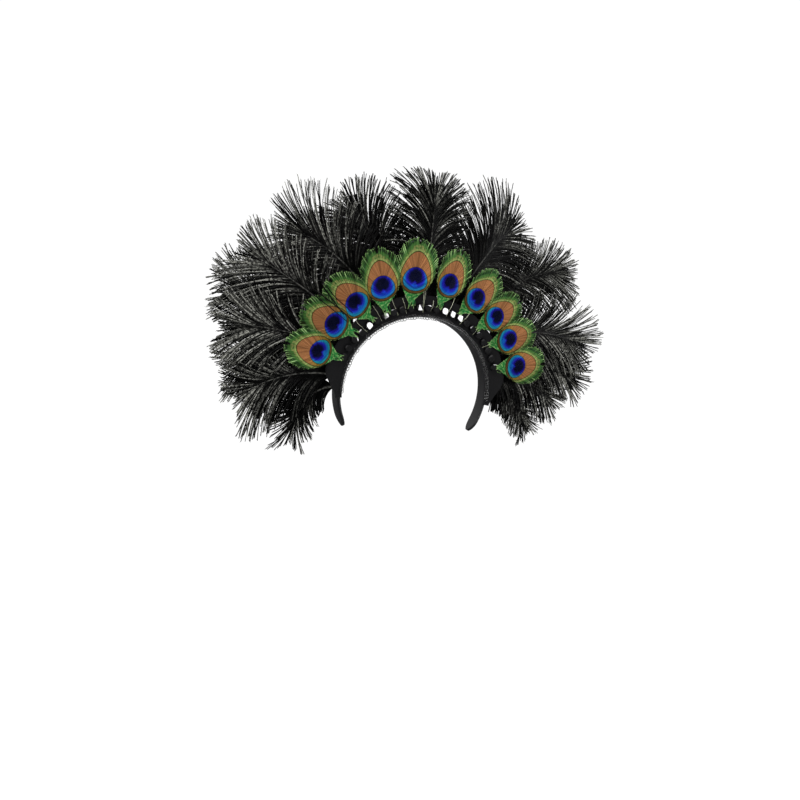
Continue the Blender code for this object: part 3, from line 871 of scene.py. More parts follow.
def feather_zones(tree, settings):
    """Colour of a peacock feather from the places that its points carry, in
    millimetres from the middle of the spot at size 1: rings and ovals, each
    edge broken up by the tone of its barb."""
    place = add_node(tree, "ShaderNodeAttribute", attribute_name="eye_place")
    look = add_node(tree, "ShaderNodeAttribute", attribute_name="barb_look")
    across, up, _ = add_node(tree, "ShaderNodeSeparateXYZ",
                             {0: place.outputs["Vector"]}).outputs
    tone, turquoise, reach = add_node(tree, "ShaderNodeSeparateXYZ",
                                      {0: look.outputs["Vector"]}).outputs
    patch = add_node(tree, "ShaderNodeTexNoise", {
        "Vector": place.outputs["Vector"], "Scale": 1 / PATCH_MM, "Detail": 3.0})
    narrow = add_node(tree, "ShaderNodeMath", {0: up, 1: EGG_TAPER, 2: 1.0},
                      operation="MULTIPLY_ADD")
    narrow = add_node(tree, "ShaderNodeMath", {0: across, 1: narrow}, operation="MULTIPLY")
    egg = add_node(tree, "ShaderNodeCombineXYZ", {0: narrow, 1: up})

    def oval(half_width, half_height, middle, ragged):
        """How far out of an egg-shaped oval a place lies, 1 on its line."""
        fitted = add_node(tree, "ShaderNodeMapping", {
            "Vector": egg, "Location": (0, -middle / half_height, 0),
            "Scale": (1 / half_width, 1 / half_height, 1)})
        far = add_node(tree, "ShaderNodeVectorMath", {0: fitted}, operation="LENGTH")
        return add_node(tree, "ShaderNodeMath", {0: tone, 1: ragged, 2: far.outputs["Value"]},
                        operation="MULTIPLY_ADD")

    def laid(under, over, *edges):
        """Colour laid over another past all of these edges: of each the value
        that counts, where the change starts and where it is done."""
        steps = [add_node(tree, "ShaderNodeMapRange",
                          {"Value": value, "From Min": start, "From Max": end},
                          interpolation_type="SMOOTHSTEP") for value, start, end in edges]
        share = steps.pop(0)
        for step in steps:
            share = add_node(tree, "ShaderNodeMath", {0: share, 1: step},
                             operation="MULTIPLY")
        return add_node(tree, "ShaderNodeMix", {0: share, 6: under, 7: over},
                        data_type="RGBA").outputs[2]

    def shaded(value, *stops):
        """Colours along a value, from the first stop to the last."""
        low, high = stops[0][0], stops[-1][0]
        share = add_node(tree, "ShaderNodeMapRange",
                         {"Value": value, "From Min": low, "From Max": high})
        node = add_node(tree, "ShaderNodeValToRGB", {0: share})
        line = node.color_ramp.elements
        while len(line) < len(stops):
            line.new(0.5)
        for element, (at, colour) in zip(line, stops):
            element.position = (at - low) / (high - low)
            element.color = opaque(colour)
        return node

    # Green vane around the ring, its barbs' pale tips and the leafy foot
    band = oval(19.9, 25.6, 8.3, 0.012)
    outer = shaded(band, (1.00, settings.green), (1.10, settings.green),
                   (1.20, settings.deep), (1.40, settings.green), (1.60, settings.deep))
    outer = laid(outer, settings.tips, (tone, 0.25, 0.75), (band, 1.06, 1.3))
    outer = laid(outer, settings.line, (tone, -0.1, -0.6), (band, 1.04, 1.2))
    foot = laid(settings.emerald, settings.hem, (patch, 0.42, 0.80))
    outer = laid(outer, foot, (up, -11.0, -16.0))
    outer = laid(outer, settings.hem, (reach, 0.74, 0.94), (up, -6.0, -14.0))
    outer = laid(outer, settings.tips, (reach, 0.95, 1.0))

    # Pale ring, mottled above, green at the foot
    oval_line = oval(17.7, 21.4, 6.5, 0.010)
    top = laid(settings.olive, settings.green, (patch, 0.42, 0.62))
    inner_ring = laid(settings.ring, top, (oval_line, 1.06, 1.13))
    ring = laid(settings.ring, inner_ring, (up, 10.0, 20.0))
    ring = laid(ring, foot, (up, -9.5, -13.0))
    vane = laid(ring, outer, (band, 0.985, 1.015))

    # Copper oval with its dark line
    copper = shaded(up, (-16.0, settings.brown), (-9.0, settings.brown),
                    (-1.0, settings.bronze), (11.0, settings.copper),
                    (28.0, settings.copper))
    copper = laid(copper, settings.line, (oval_line, 0.93, 0.975))
    vane = laid(vane, copper, (oval_line, 1.01, 0.985))

    # Blue spot with its dark line, and the notched heart in it
    spot = oval(12.8, 11.4, 0.0, 0.010)
    # Painted iridescent sheen: by each feather's own share, the rim and a little of the body
    # turn from cyan to turquoise for the angle at which the feather is seen
    rim = add_node(tree, "ShaderNodeMix", {
        0: turquoise, 6: settings.cyan, 7: settings.turquoise}, data_type="RGBA")
    body = laid(settings.blue, rim.outputs[2], (spot, 0.70, 0.98))
    cast = add_node(tree, "ShaderNodeMath", {0: turquoise, 1: 0.35}, operation="MULTIPLY")
    body = add_node(tree, "ShaderNodeMix", {0: cast, 6: body, 7: settings.turquoise},
                    data_type="RGBA").outputs[2]
    vane = laid(vane, settings.line, (spot, 1.075, 1.045))
    wedge = add_node(tree, "ShaderNodeMath", {0: across}, operation="ABSOLUTE")
    wedge = add_node(tree, "ShaderNodeMath", {0: up, 1: 0.45, 2: wedge},
                     operation="MULTIPLY_ADD")
    notch = add_node(tree, "ShaderNodeMapRange",
                     {"Value": wedge, "From Min": 1.1, "From Max": -1.2},
                     interpolation_type="SMOOTHSTEP")
    heart = add_node(tree, "ShaderNodeMath", {
        0: notch, 1: 0.35, 2: oval(9.2, 8.4, 2.8, 0.05)}, operation="MULTIPLY_ADD")
    body = laid(body, settings.violet, (heart, 1.40, 1.00))
    body = laid(body, settings.heart, (heart, 1.20, 0.66))
    return laid(vane, body, (spot, 1.02, 0.99)), tone


def peacock_material(settings):
    """Peacock vane: keratin barbules whose fine layers give the colour, so it
    is saturated, with a satin gloss tinted by the colour itself. Each barb has
    its own brightness, which draws the fine lines from quill to rim."""
    material, tree = new_material("peacock_vane")
    vane, tone = feather_zones(tree, settings)
    light = add_node(tree, "ShaderNodeMapRange", {
        "Value": tone, "From Min": -1.0, "From Max": 1.0, "To Min": 0.50, "To Max": 1.40})
    lit = add_node(tree, "ShaderNodeVectorMath", {0: vane, "Scale": light},
                   operation="SCALE")
    end_material(tree, {"Base Color": lit, "Roughness": 0.38, "Metallic": 0.25,
                        "IOR": 1.55, "Specular IOR Level": 0.05})
    return material


def stem_material(settings):
    """Feather shafts: undyed keratin, pale and slightly glossy."""
    material, tree = new_material("undyed_feather_shaft")
    colour = add_node(tree, "ShaderNodeMix", {
        0: grain(tree, STEM_MOTTLE_SIZE), 6: settings.stem, 7: settings.olive},
        data_type="RGBA")
    end_material(tree, {"Base Color": colour.outputs[2], "Roughness": 0.35, "IOR": 1.55})
    return material


def vane_tree():
    """Geometry tree that turns strand lines into flat barbs that face the
    front, and keeps the faces of the thin vane under them."""
    tree, given = new_tree(
        "Flat Barbs", {"Flatness": "Float", "Face": "Vector", "Material": "Material"},
        {"under": "FLOAT", "thickness": "FLOAT"})
    is_under = add_node(tree, "FunctionNodeCompare", {0: given["under"], 1: 0.5},
                        data_type="FLOAT", operation="GREATER_THAN")
    apart = add_node(tree, "GeometryNodeSeparateGeometry",
                     {"Geometry": given["Geometry"], "Selection": is_under},
                     domain="POINT")
    lines = add_node(tree, "GeometryNodeMeshToCurve", {"Mesh": apart.outputs[1]})
    faced = add_node(tree, "GeometryNodeSetCurveNormal",
                     {"Curve": lines, "Normal": given["Face"]}, mode="FREE")
    circle = add_node(tree, "GeometryNodeCurvePrimitiveCircle",
                      {"Resolution": 4, "Radius": 1.0})
    shape = add_node(tree, "ShaderNodeCombineXYZ", {0: given["Flatness"], 1: 1.0, 2: 1.0})
    profile = add_node(tree, "GeometryNodeTransform", {"Geometry": circle, "Scale": shape})
    barbs = add_node(tree, "GeometryNodeCurveToMesh", {
        "Curve": faced, "Profile Curve": profile, "Scale": given["thickness"],
        "Fill Caps": True})
    close_tree(tree, [barbs, apart], given["Material"])
    return tree


# A peacock feather's barbs: points on each and on the rim, how far the top
# closes up, where on the quill the first ones start and how far the rest go
# on, how they crowd along the rim, their thickness for their width, how far
# they stand out, and their scatter, overlap and narrowing to a free end
EYE_POINTS = 11
RIM_POINTS = 400
EYE_TOP_SHARE = 0.90
QUILL_FROM = 0.015
QUILL_END = 0.50
RIM_CROWDING = 0.9
BARB_FLATNESS = 0.3
BARB_STAND = 0.0003
BARB_SCATTER = 0.00012
BARB_END_SCATTER = 0.0006
BARB_REACH_SPREAD = 0.022
BARB_OVERLAP = 0.62
BARB_HALF_WIDTH = (0.00016, 0.0008)
FRINGE_LOSS = 0.60

# Tone of the barbs: its spread, which is their own, and how far every second one differs, which
# paints dark lines of shade between the barbs; then the tone of the vane under them, darkened
# as painted shade in the gaps
TONE_SPREAD = 0.35
SHADE_STRIPE = 0.3
VANE_SHADE_TONE = -0.5

# Herls that hang over the stones: how many, the corners of the boxes in which
# they start and end, across and along, their sway, half width with its scatter
# and taper, and how far they rise and how soon
HERLS = 9
HERL_START = ((-0.0045, 0.005), (0.0045, 0.009))
HERL_END = ((-0.0040, -0.0055), (0.0040, -0.0015))
HERL_SWAY = 0.0006
HERL_HALF_WIDTH = 0.00034
HERL_SPREAD = (0.7, 1.1)
HERL_TAPER = 0.5
HERL_RISE = 0.0042
HERL_RISE_SPEED = 1.3

# Thin vane under the barbs: its share of the feather's width, its reach along
# it, its rows and columns, and its two faces behind the barbs' plane
VANE_SHARE = 0.86
VANE_ALONG = (0.02, 0.90)
VANE_ROWS = 26
VANE_COLUMNS = 12
VANE_FACES = (-0.0001, -0.0003)


def eye_places(row, across, along, front=0.0):
    """Row frame points on a peacock feather: across and along in metres at
    size 1 from its foot, and how far in front of its vane."""
    axis = math.radians(row.axis_deg)
    foot_angle = math.radians(row.foot_deg)
    foot = on_fan(foot_angle, arch_radius(foot_angle, STONE_MARGIN + STONE_WIDTH + EYE_SEAT),
                  BACKING_FRONT + SEWN_GAP)
    share = along / EYE_LENGTH
    crown_side = -1 if row.foot_deg > 0 else 1
    settle = smooth(share / EYE_RISE_SHARE)
    lift = across * row.size * crown_side * math.sin(math.radians(EYE_TILT_DEG))
    past = np.maximum(0.0, share - EYE_CURL_FROM) / (1 - EYE_CURL_FROM)
    stand = EYE_RISE * settle + lift * settle - EYE_BACK_CURL * past * past + front
    place = (foot + towards(np.array(axis)) * (along * row.size)[..., None]
             + towards(np.array(axis + math.pi / 2)) * (across * row.size)[..., None])
    place[..., 1] -= stand
    return to_row(place)


def eye_height(share):
    """Height over a feather's foot, closed up a little above the spot."""
    past = np.maximum(0.0, share - SPOT_SHARE)
    return EYE_LENGTH * (share - (1 - EYE_TOP_SHARE) * past)


def loose_herls(rng):
    """Herls that hang from a feather's foot over the stones: across and along,
    half width and how far each point stands in front of the vane."""
    share = np.linspace(0.0, 1.0, EYE_POINTS)[None, :]
    start = rng.uniform(*HERL_START, (HERLS, 2))
    end = rng.uniform(*HERL_END, (HERLS, 2))
    across = start[:, :1] + (end[:, :1] - start[:, :1]) * share
    across = across + rng.normal(0, HERL_SWAY, (HERLS, 1)) * np.sin(np.pi * share)
    along = start[:, 1:] + (end[:, 1:] - start[:, 1:]) * share
    half = (HERL_HALF_WIDTH * (1 - HERL_TAPER * share)
            * rng.uniform(*HERL_SPREAD, (HERLS, 1)))
    rise = HERL_RISE * smooth(share * HERL_RISE_SPEED)
    stand = BARB_STAND + rise + np.zeros((HERLS, 1))
    return np.stack((across, along), axis=-1), half, stand


def eye_barbs(row, settings, rng):
    """Barb lines of a peacock feather: from the quill up and out to the rim,
    the last ones straight up past the quill's end. Gives across, along and
    half width for each point, at size 1."""
    fine = np.linspace(0.0, 1.0, RIM_POINTS)
    rim = np.stack((smooth_table(EYE_ALONG, EYE_HALF_WIDTH, fine) * EYE_WIDTH / 2,
                    eye_height(fine)), axis=-1)
    steps = np.concatenate(((0.0,), np.cumsum(np.linalg.norm(np.diff(rim, axis=0), axis=1))))
    number = np.linspace(0.0, 1.0, settings.barbs)
    ends = np.stack([np.interp(number ** RIM_CROWDING * steps[-1], steps, rim[:, i])
                     for i in range(2)], axis=-1)
    root = np.stack((np.zeros(settings.barbs),
                     eye_height(QUILL_FROM + QUILL_END * number)), axis=-1)
    chord = ends - root
    length = np.linalg.norm(chord, axis=-1)
    turn = np.arctan2(chord[:, 0], chord[:, 1]) + settings.bend * np.sin(
        np.pi * np.minimum(number * 1.1, 1.0))
    elbow = root + np.stack((np.sin(turn), np.cos(turn)), axis=-1) * (length * 0.5)[:, None]
    share = np.linspace(0.0, 1.0, EYE_POINTS)[None, :, None]
    lines = []
    for side in (-1, 1):
        reach = 1 + rng.normal(0, BARB_REACH_SPREAD, settings.barbs)
        far = root + (ends - root) * reach[:, None]
        curve = ((1 - share) ** 2 * root[:, None] + 2 * share * (1 - share) * elbow[:, None]
                 + share ** 2 * far[:, None])
        ahead = np.gradient(curve, axis=1)
        ahead = ahead / np.linalg.norm(ahead, axis=-1, keepdims=True)
        step = np.gradient(curve, axis=0)
        spacing = np.abs(step[..., 0] * ahead[..., 1] - step[..., 1] * ahead[..., 0])
        half = np.clip(spacing * BARB_OVERLAP, *BARB_HALF_WIDTH)
        free = smooth((share[0, :, 0] - (1 - settings.fringe)) / settings.fringe)
        half = half * (1 - FRINGE_LOSS * free)[None, :]
        curve[..., 0] *= side
        lines.append((curve, half))
    return np.concatenate([c for c, _ in lines]), np.concatenate([h for _, h in lines])


def peacock_source(row, settings, rng):
    """Barb lines and the thin vane under them, with what their points carry."""
    lines, half = eye_barbs(row, settings, rng)
    herls, herl_half, herl_stand = loose_herls(rng)
    lines, half = np.concatenate((lines, herls)), np.concatenate((half, herl_half))
    count = len(lines)
    share = np.linspace(0.0, 1.0, EYE_POINTS)
    # Every second barb darker: painted shade lines between the barbs
    shade_stripe = SHADE_STRIPE * (-1) ** np.arange(count)
    tone = np.clip(rng.normal(0, TONE_SPREAD, count) + shade_stripe, -1, 1)
    stand = (rng.normal(0, BARB_SCATTER, count)[:, None]
             + rng.normal(0, BARB_END_SCATTER, count)[:, None] * share[None, :] ** 6)
    stand[-HERLS:] += herl_stand
    points = eye_places(row, lines[..., 0], lines[..., 1], stand + BARB_STAND)
    place = np.stack((lines[..., 0], lines[..., 1] - EYE_LENGTH * SPOT_SHARE,
                      np.zeros(half.shape)), axis=-1) * 1000
    look = np.stack(np.broadcast_arrays(tone[:, None], row.turquoise, share[None, :]), axis=-1)

    rows = np.linspace(*VANE_ALONG, VANE_ROWS)
    columns = np.linspace(-VANE_SHARE, VANE_SHARE, VANE_COLUMNS)
    across = (smooth_table(EYE_ALONG, EYE_HALF_WIDTH, rows)[:, None]
              * EYE_WIDTH / 2 * columns[None, :])
    along = np.broadcast_to(eye_height(rows)[:, None], across.shape)
    grid = np.arange(across.size).reshape(across.shape)
    sheets, faces = [], []
    for layer, front in enumerate(VANE_FACES):
        sheets.append(eye_places(row, across, along, front).reshape(-1, 3))
        quads = np.stack((grid[:-1, :-1], grid[:-1, 1:], grid[1:, 1:], grid[1:, :-1]),
                         axis=-1).reshape(-1, 4) + layer * grid.size
        faces += [tuple(q) for q in (quads if layer == 0 else quads[:, ::-1])]
    edge = np.concatenate((grid[0, :], grid[1:, -1], grid[-1, -2::-1], grid[-2:0:-1, 0]))
    for start, end in zip(edge, np.roll(edge, -1)):
        faces.append((start, start + grid.size, end + grid.size, end))
    first = count * EYE_POINTS
    flat_place = np.stack((across, along - EYE_LENGTH * SPOT_SHARE,
                           np.zeros(across.shape)), axis=-1).reshape(-1, 3) * 1000
    # The vane under the barbs is darkened: painted shade in the gaps between them
    flat_look = np.tile((VANE_SHADE_TONE, row.turquoise, 0.5), (2 * grid.size, 1))

    starts = np.arange(first).reshape(count, EYE_POINTS)
    edges = np.stack((starts[:, :-1], starts[:, 1:]), axis=-1).reshape(-1, 2)
    mesh = mesh_from(row.name, np.concatenate([points.reshape(-1, 3), *sheets]), edges,
                     [tuple(int(i) + first for i in face) for face in faces])
    give(mesh, "thickness", np.concatenate((half.ravel() * row.size,
                                            np.zeros(2 * grid.size))))
    give(mesh, "under", np.concatenate((np.zeros(first), np.ones(2 * grid.size))))
    give(mesh, "eye_place", np.concatenate((place.reshape(-1, 3), flat_place, flat_place)))
    give(mesh, "barb_look", np.concatenate((look.reshape(-1, 3), flat_look)))
    return mesh


class HEADBAND_OT_peacock(bpy.types.Operator):
    """Build the eyed peacock feathers"""
    bl_idname = "headband.peacock"
    bl_label = "Peacock feathers"

    def execute(self, context):
        settings = context.scene.headband_peacock
        material = peacock_material(settings)
        tree = vane_tree()
        face = to_row(np.array((0.0, -1.0, 0.0)))
        for number, row in enumerate(EYES):
            rng = np.random.default_rng(settings.seed + number)
            source = peacock_source(row, settings, rng)
            piece = grow(f"eyed_{row.name}", source, tree,
                         {"Flatness": BARB_FLATNESS, "Face": tuple(face),
                          "Material": material}, spare=("thickness", "under"))
            finish_piece(piece, "peacock", row.name)
        return {"FINISHED"}


# Jet stones

# One row a ring of the cut: height, size, corners and, where these are cut
# off, half the width of the cut in degrees
STONE_CUT = (
    (0.00, 0.92, 8, 2.0),
    (0.30, 0.99, 8, 2.0),
    (0.40, 0.99, 8, 2.0),
    (0.76, 0.88, 8, 0.0),
    (1.00, 0.80, 4, 14.0),
)

# How far a table is ground unevenly, how far a stone stands off the felt, how
# the stones' turns run on along the line, and the smears on their facets
STONE_UNEVEN = 0.00022
STONE_LIFT = 0.0002
STONE_TURN_STEP = 4.7
SMEAR_SIZE = 0.0025

# Stones whose tables catch the right softbox: how far each leans up and turns
GLINTS = {5: (6, 4), 7: (3, 2), 11: (5, 3), 14: (7, 2), 15: (9, 3), 16: (6, 1)}


def stone_material(settings):
    """Pressed jet glass: black right through, mirror smooth on its facets, so
    that it shows only what it reflects."""
    material, tree = new_material("pressed_jet_glass")
    rough = add_node(tree, "ShaderNodeMapRange", {
        "Value": grain(tree, SMEAR_SIZE), "To Min": 0.02, "To Max": 0.08})
    end_material(tree, {"Base Color": settings.colour, "Roughness": rough, "IOR": 1.66})
    return material


def stone_angles():
    """Angles of the stones: an even pitch along their line, both ways."""
    line = STONE_MARGIN + STONE_WIDTH / 2
    side = [0.0]
    while True:
        step = (STONE_WIDTH + STONE_SPACING) / arch_radius(side[-1], line)
        if side[-1] + step > math.radians(STONE_END_DEG):
            break
        side.append(side[-1] + step)
    return [-angle for angle in reversed(side[1:])] + side


def cut_stone(rng):
    """Points and faces of a cut stone: the hull of the rings of its cut, with
    a table that is ground a little unevenly."""
    shape = bmesh.new()
    for height, size, corners, split in STONE_CUT:
        radius = size * STONE_WIDTH / 2 / math.cos(math.pi / STONE_SIDES)
        for side in range(corners):
            for cut in sorted({-split, split}):
                angle = 2 * math.pi * (side + 0.5) / corners + math.radians(cut)
                ground = rng.uniform(0, STONE_UNEVEN) if height == 1 else 0
                shape.verts.new((radius * math.sin(angle), ground - height * STONE_HEIGHT,
                                 radius * math.cos(angle)))
    hull = bmesh.ops.convex_hull(shape, input=shape.verts)
    spare = [v for v in hull["geom_interior"] + hull["geom_unused"]
             if isinstance(v, bmesh.types.BMVert)]
    bmesh.ops.delete(shape, geom=spare, context="VERTS")
    bmesh.ops.dissolve_limit(shape, angle_limit=math.radians(1), verts=shape.verts,
                             edges=shape.edges)
    bmesh.ops.recalc_face_normals(shape, faces=shape.faces)
    shape.verts.index_update()
    points = np.array([v.co for v in shape.verts])
    faces = [[v.index for v in face.verts] for face in shape.faces]
    shape.free()
    return points, faces


class HEADBAND_OT_stones(bpy.types.Operator):
    """Cut the jet stones and set them along their line"""
    bl_idname = "headband.stones"
    bl_label = "Jet stones"

    def execute(self, context):
        settings = context.scene.headband_stones
        material = stone_material(settings)
        rng = np.random.default_rng(settings.seed)
        line = STONE_MARGIN + STONE_WIDTH / 2
        for number, angle in enumerate(stone_angles(), start=1):
            points, faces = cut_stone(rng)
            lean, turn = rng.uniform((-1, -1), (-0.2, 1)) * settings.tilt
            if number in GLINTS:
                lean, turn = (math.radians(value) for value in GLINTS[number])
            hand_turn = (math.radians(STONE_TURN_DEG)
                         * math.sin(STONE_TURN_STEP * number))
            set_as = (Matrix.Rotation(turn, 3, "Z") @ Matrix.Rotation(-lean, 3, "X")
                      @ Matrix.Rotation(angle + hand_turn, 3, "Y"))
            place = on_fan(angle, arch_radius(angle, line),
                           BACKING_FRONT + SEWN_GAP + STONE_LIFT)
            mesh = mesh_from(f"cut_jet_stone_{number:02d}",
                             to_row(points @ np.array(set_as).T + place), faces=faces)
            mesh.materials.append(material)
            finish_piece(add_object(mesh.name, mesh), "jet", f"jet_stone_{number:02d}")
        return {"FINISHED"}


# Band and felt

# Rings of the band and the felt, points around each, how square their sections
# are and how far the satin swells over the band's middle
BAND_STATIONS = 181
FELT_STATIONS = 141
BAR_POINTS = 28
BAND_SQUARENESS = 6.0
FELT_SQUARENESS = 9.0
BAND_PUFF = 0.00025

# Real sizes of the patterns. Of the satin in millimetres: length of its streaks
# of thread, and its puckers along and around the band. Of the felt's tufts and
# the cord's twist in metres: their fibres are too fine to show, so both are
# drawn as coarse as this.
STREAK_MM = 8.33
PUCKERS_MM = (1.82, 8.33)
TUFT_SIZE = 0.00111
TWIST_SIZE = 0.000667


def backing_height(angle):
    """Height of the felt at an angle: even, then tapered to its ends."""
    to_end = math.radians(BACKING_END_DEG) - np.abs(angle)
    share = smooth(to_end / math.radians(BACKING_TAPER_DEG))
    return BACKING_HEIGHT * (BACKING_END_HEIGHT + (1 - BACKING_END_HEIGHT) * share)


def bar_section(squareness):
    """Points around a bar with rounded edges, from -1 to 1 both ways, the first
    way the long one."""
    turn = 2 * math.pi * (np.arange(BAR_POINTS) + 0.5) / BAR_POINTS
    power = 2 / squareness
    return (np.sign(np.cos(turn)) * np.abs(np.cos(turn)) ** power,
            np.sign(np.sin(turn)) * np.abs(np.sin(turn)) ** power)


def satin_material(settings):
    """Satin cover: smooth threads along the band that stretch the light into
    soft streaks, with slight puckers where the cloth is glued round."""
    material, tree = new_material("black_satin_cover")
    weave = add_node(tree, "ShaderNodeAttribute", attribute_name="weave")
    lines, folds = (
        add_node(tree, "ShaderNodeTexNoise", {
            "Vector": add_node(tree, "ShaderNodeMapping", {
                "Vector": weave.outputs["Vector"], "Scale": (1 / along, 1 / around, 1.0)}),
            "Scale": 1.0, "Detail": detail})
        for along, around, detail in ((STREAK_MM, 2000 * settings.thread_pitch, 1.0),
                                      (*PUCKERS_MM, 2.0)))
    height = add_node(tree, "ShaderNodeMath", {0: folds, 1: 5.0, 2: lines},
                      operation="MULTIPLY_ADD")
    bump = add_node(tree, "ShaderNodeBump",
                    {"Height": height, "Strength": 0.5, "Distance": 0.00006})
    rough = add_node(tree, "ShaderNodeMapRange",
                     {"Value": lines, "To Min": 0.26, "To Max": 0.42})
    end_material(tree, {
        "Base Color": settings.satin, "Roughness": rough, "IOR": 1.5,
        "Specular IOR Level": 0.4, "Anisotropic": 0.4, "Normal": bump})
    return material


def felt_material(settings):
    """Wool felt: matted fibres with no gloss and a dull bloom at the edges."""
    material, tree = new_material("black_wool_felt")
    mat = grain(tree, TUFT_SIZE, detail=4.0)
    bump = add_node(tree, "ShaderNodeBump",
                    {"Height": mat, "Strength": 0.8, "Distance": 0.0003})
    colour = add_node(tree, "ShaderNodeMix", {0: mat, 6: settings.felt, 7: settings.satin},
                      data_type="RGBA")
    end_material(tree, {
        "Base Color": colour.outputs[2], "Roughness": 0.95, "Specular IOR Level": 0.1,
        "Sheen Weight": 0.03, "Normal": bump})
    return material


def trim_material(settings):
    """Rayon cord: twisted, so that its gloss breaks up along it."""
    material, tree = new_material("black_rayon_cord")
    rough = add_node(tree, "ShaderNodeMapRange", {
        "Value": grain(tree, TWIST_SIZE), "To Min": 0.12, "To Max": 0.4})
    end_material(tree, {"Base Color": settings.trim, "Roughness": rough, "IOR": 1.55,
                        "Specular IOR Level": 0.8})
    return material


def band_mesh():
    """Arched band with a crowned outer face and rounded ends, and the place on
    its cloth of every point in millimetres."""
    end = math.radians(BAND_END_DEG)
    arc_length = end * (HEAD_HALF_WIDTH + HEAD_RISE)
    angle = -end * np.cos(np.pi * np.arange(BAND_STATIONS) / (BAND_STATIONS - 1))
    to_end = (1 - np.abs(angle) / end) * arc_length / 2
    inset = np.maximum(0.0, 1 - to_end / BAND_END_ROUND)
    narrow = np.maximum(np.sqrt(1 - inset * inset), BAND_END_BLUNT)
    across, out = bar_section(BAND_SQUARENESS)
    offset = (1 + out) * BAND_THICKNESS / 2 + np.where(
        out > 0, BAND_PUFF * (1 - across * across), 0.0)
    front = BAND_WIDTH / 2 * across[None, :] * narrow[:, None]
    places = on_fan(angle[:, None], arch_radius(angle[:, None], offset[None, :]), front)
    mesh = sweep_mesh("satin_band", to_row(places))
    around = np.abs(((np.arange(BAR_POINTS) + 0.5) / BAR_POINTS + 0.25) % 1.0 - 0.5)
    weave = np.stack(np.broadcast_arrays(
        (angle * (HEAD_HALF_WIDTH + HEAD_RISE) / 2 * 1000)[:, None],
        (around * 2 * (BAND_WIDTH + BAND_THICKNESS) * 1000)[None, :], 0.0), axis=-1)
    give(mesh, "weave", weave.reshape(-1, 3))
    mesh.shade_smooth()
    return mesh


def felt_mesh():
    """Felt crescent on the front edge of the band, its cut edges rounded."""
    end = math.radians(BACKING_END_DEG)
    angle = np.linspace(-end, end, FELT_STATIONS)
    up, out = bar_section(FELT_SQUARENESS)
    offset = backing_height(angle)[:, None] * (1 + up[None, :]) / 2
    front = (BACKING_BACK + BACKING_FRONT) / 2 + BACKING_THICKNESS / 2 * out[None, :]
    places = on_fan(angle[:, None], arch_radius(angle[:, None], offset), front)
    mesh = sweep_mesh("felt_backing", to_row(places))
    mesh.shade_smooth()
    return mesh


def felt_tree():
    """Geometry tree that adds loose fibres to the felt's faces."""
    tree, given = new_tree("Felt Fibres", {
        "Density": "Float", "Fibre Length": "Float", "Seed": "Int",
        "Material": "Material"}, {})
    spread = add_node(tree, "GeometryNodeDistributePointsOnFaces", {
        "Mesh": given["Geometry"], "Density": given["Density"], "Seed": given["Seed"]})
    scatter = add_node(tree, "FunctionNodeRandomValue", {
        0: (-1.6, -1.6, -1.6), 1: (1.6, 1.6, 1.6), "Seed": given["Seed"]},
        data_type="FLOAT_VECTOR")
    aim = add_node(tree, "ShaderNodeVectorMath",
                   {0: spread.outputs["Normal"], 1: scatter}, operation="ADD")
    turned = add_node(tree, "FunctionNodeAlignRotationToVector", {"Vector": aim}, axis="Z")
    fibre = add_node(tree, "GeometryNodeMeshCone", {
        "Vertices": 3, "Radius Top": 0.00002, "Radius Bottom": 0.00004,
        "Depth": given["Fibre Length"]})
    size = add_node(tree, "FunctionNodeRandomValue",
                    {2: 0.4, 3: 1.2, "Seed": given["Seed"]}, data_type="FLOAT")
    fibres = add_node(tree, "GeometryNodeInstanceOnPoints", {
        "Points": spread, "Instance": fibre, "Rotation": turned, "Scale": size.outputs[1]})
    close_tree(tree, [fibres, given["Geometry"]], given["Material"])
    return tree


# Line of the trim: its points, its place out from the band and in front of the
# felt, and the angle of its ends
TRIM_POINTS = 200
TRIM_OFFSET = 0.0006
TRIM_STAND = 0.0006
TRIM_END_DEG = 93.0


def trim_source():
    """Line of the trim on the felt's inner edge, with what its points carry:
    the way along the line and the way out from the head."""
    end = math.radians(TRIM_END_DEG)
    angle = np.linspace(-end, end, TRIM_POINTS)
    line = on_fan(angle, arch_radius(angle, TRIM_OFFSET), BACKING_FRONT + TRIM_STAND)
    along = np.gradient(line, axis=0)
    along = along / np.linalg.norm(along, axis=-1, keepdims=True)
    out = np.stack((-along[:, 2], along[:, 1], along[:, 0]), axis=-1)
    return strand_mesh("looped_trim", to_row(line)[None], along=to_row(along)[None],
                       out=to_row(out)[None])


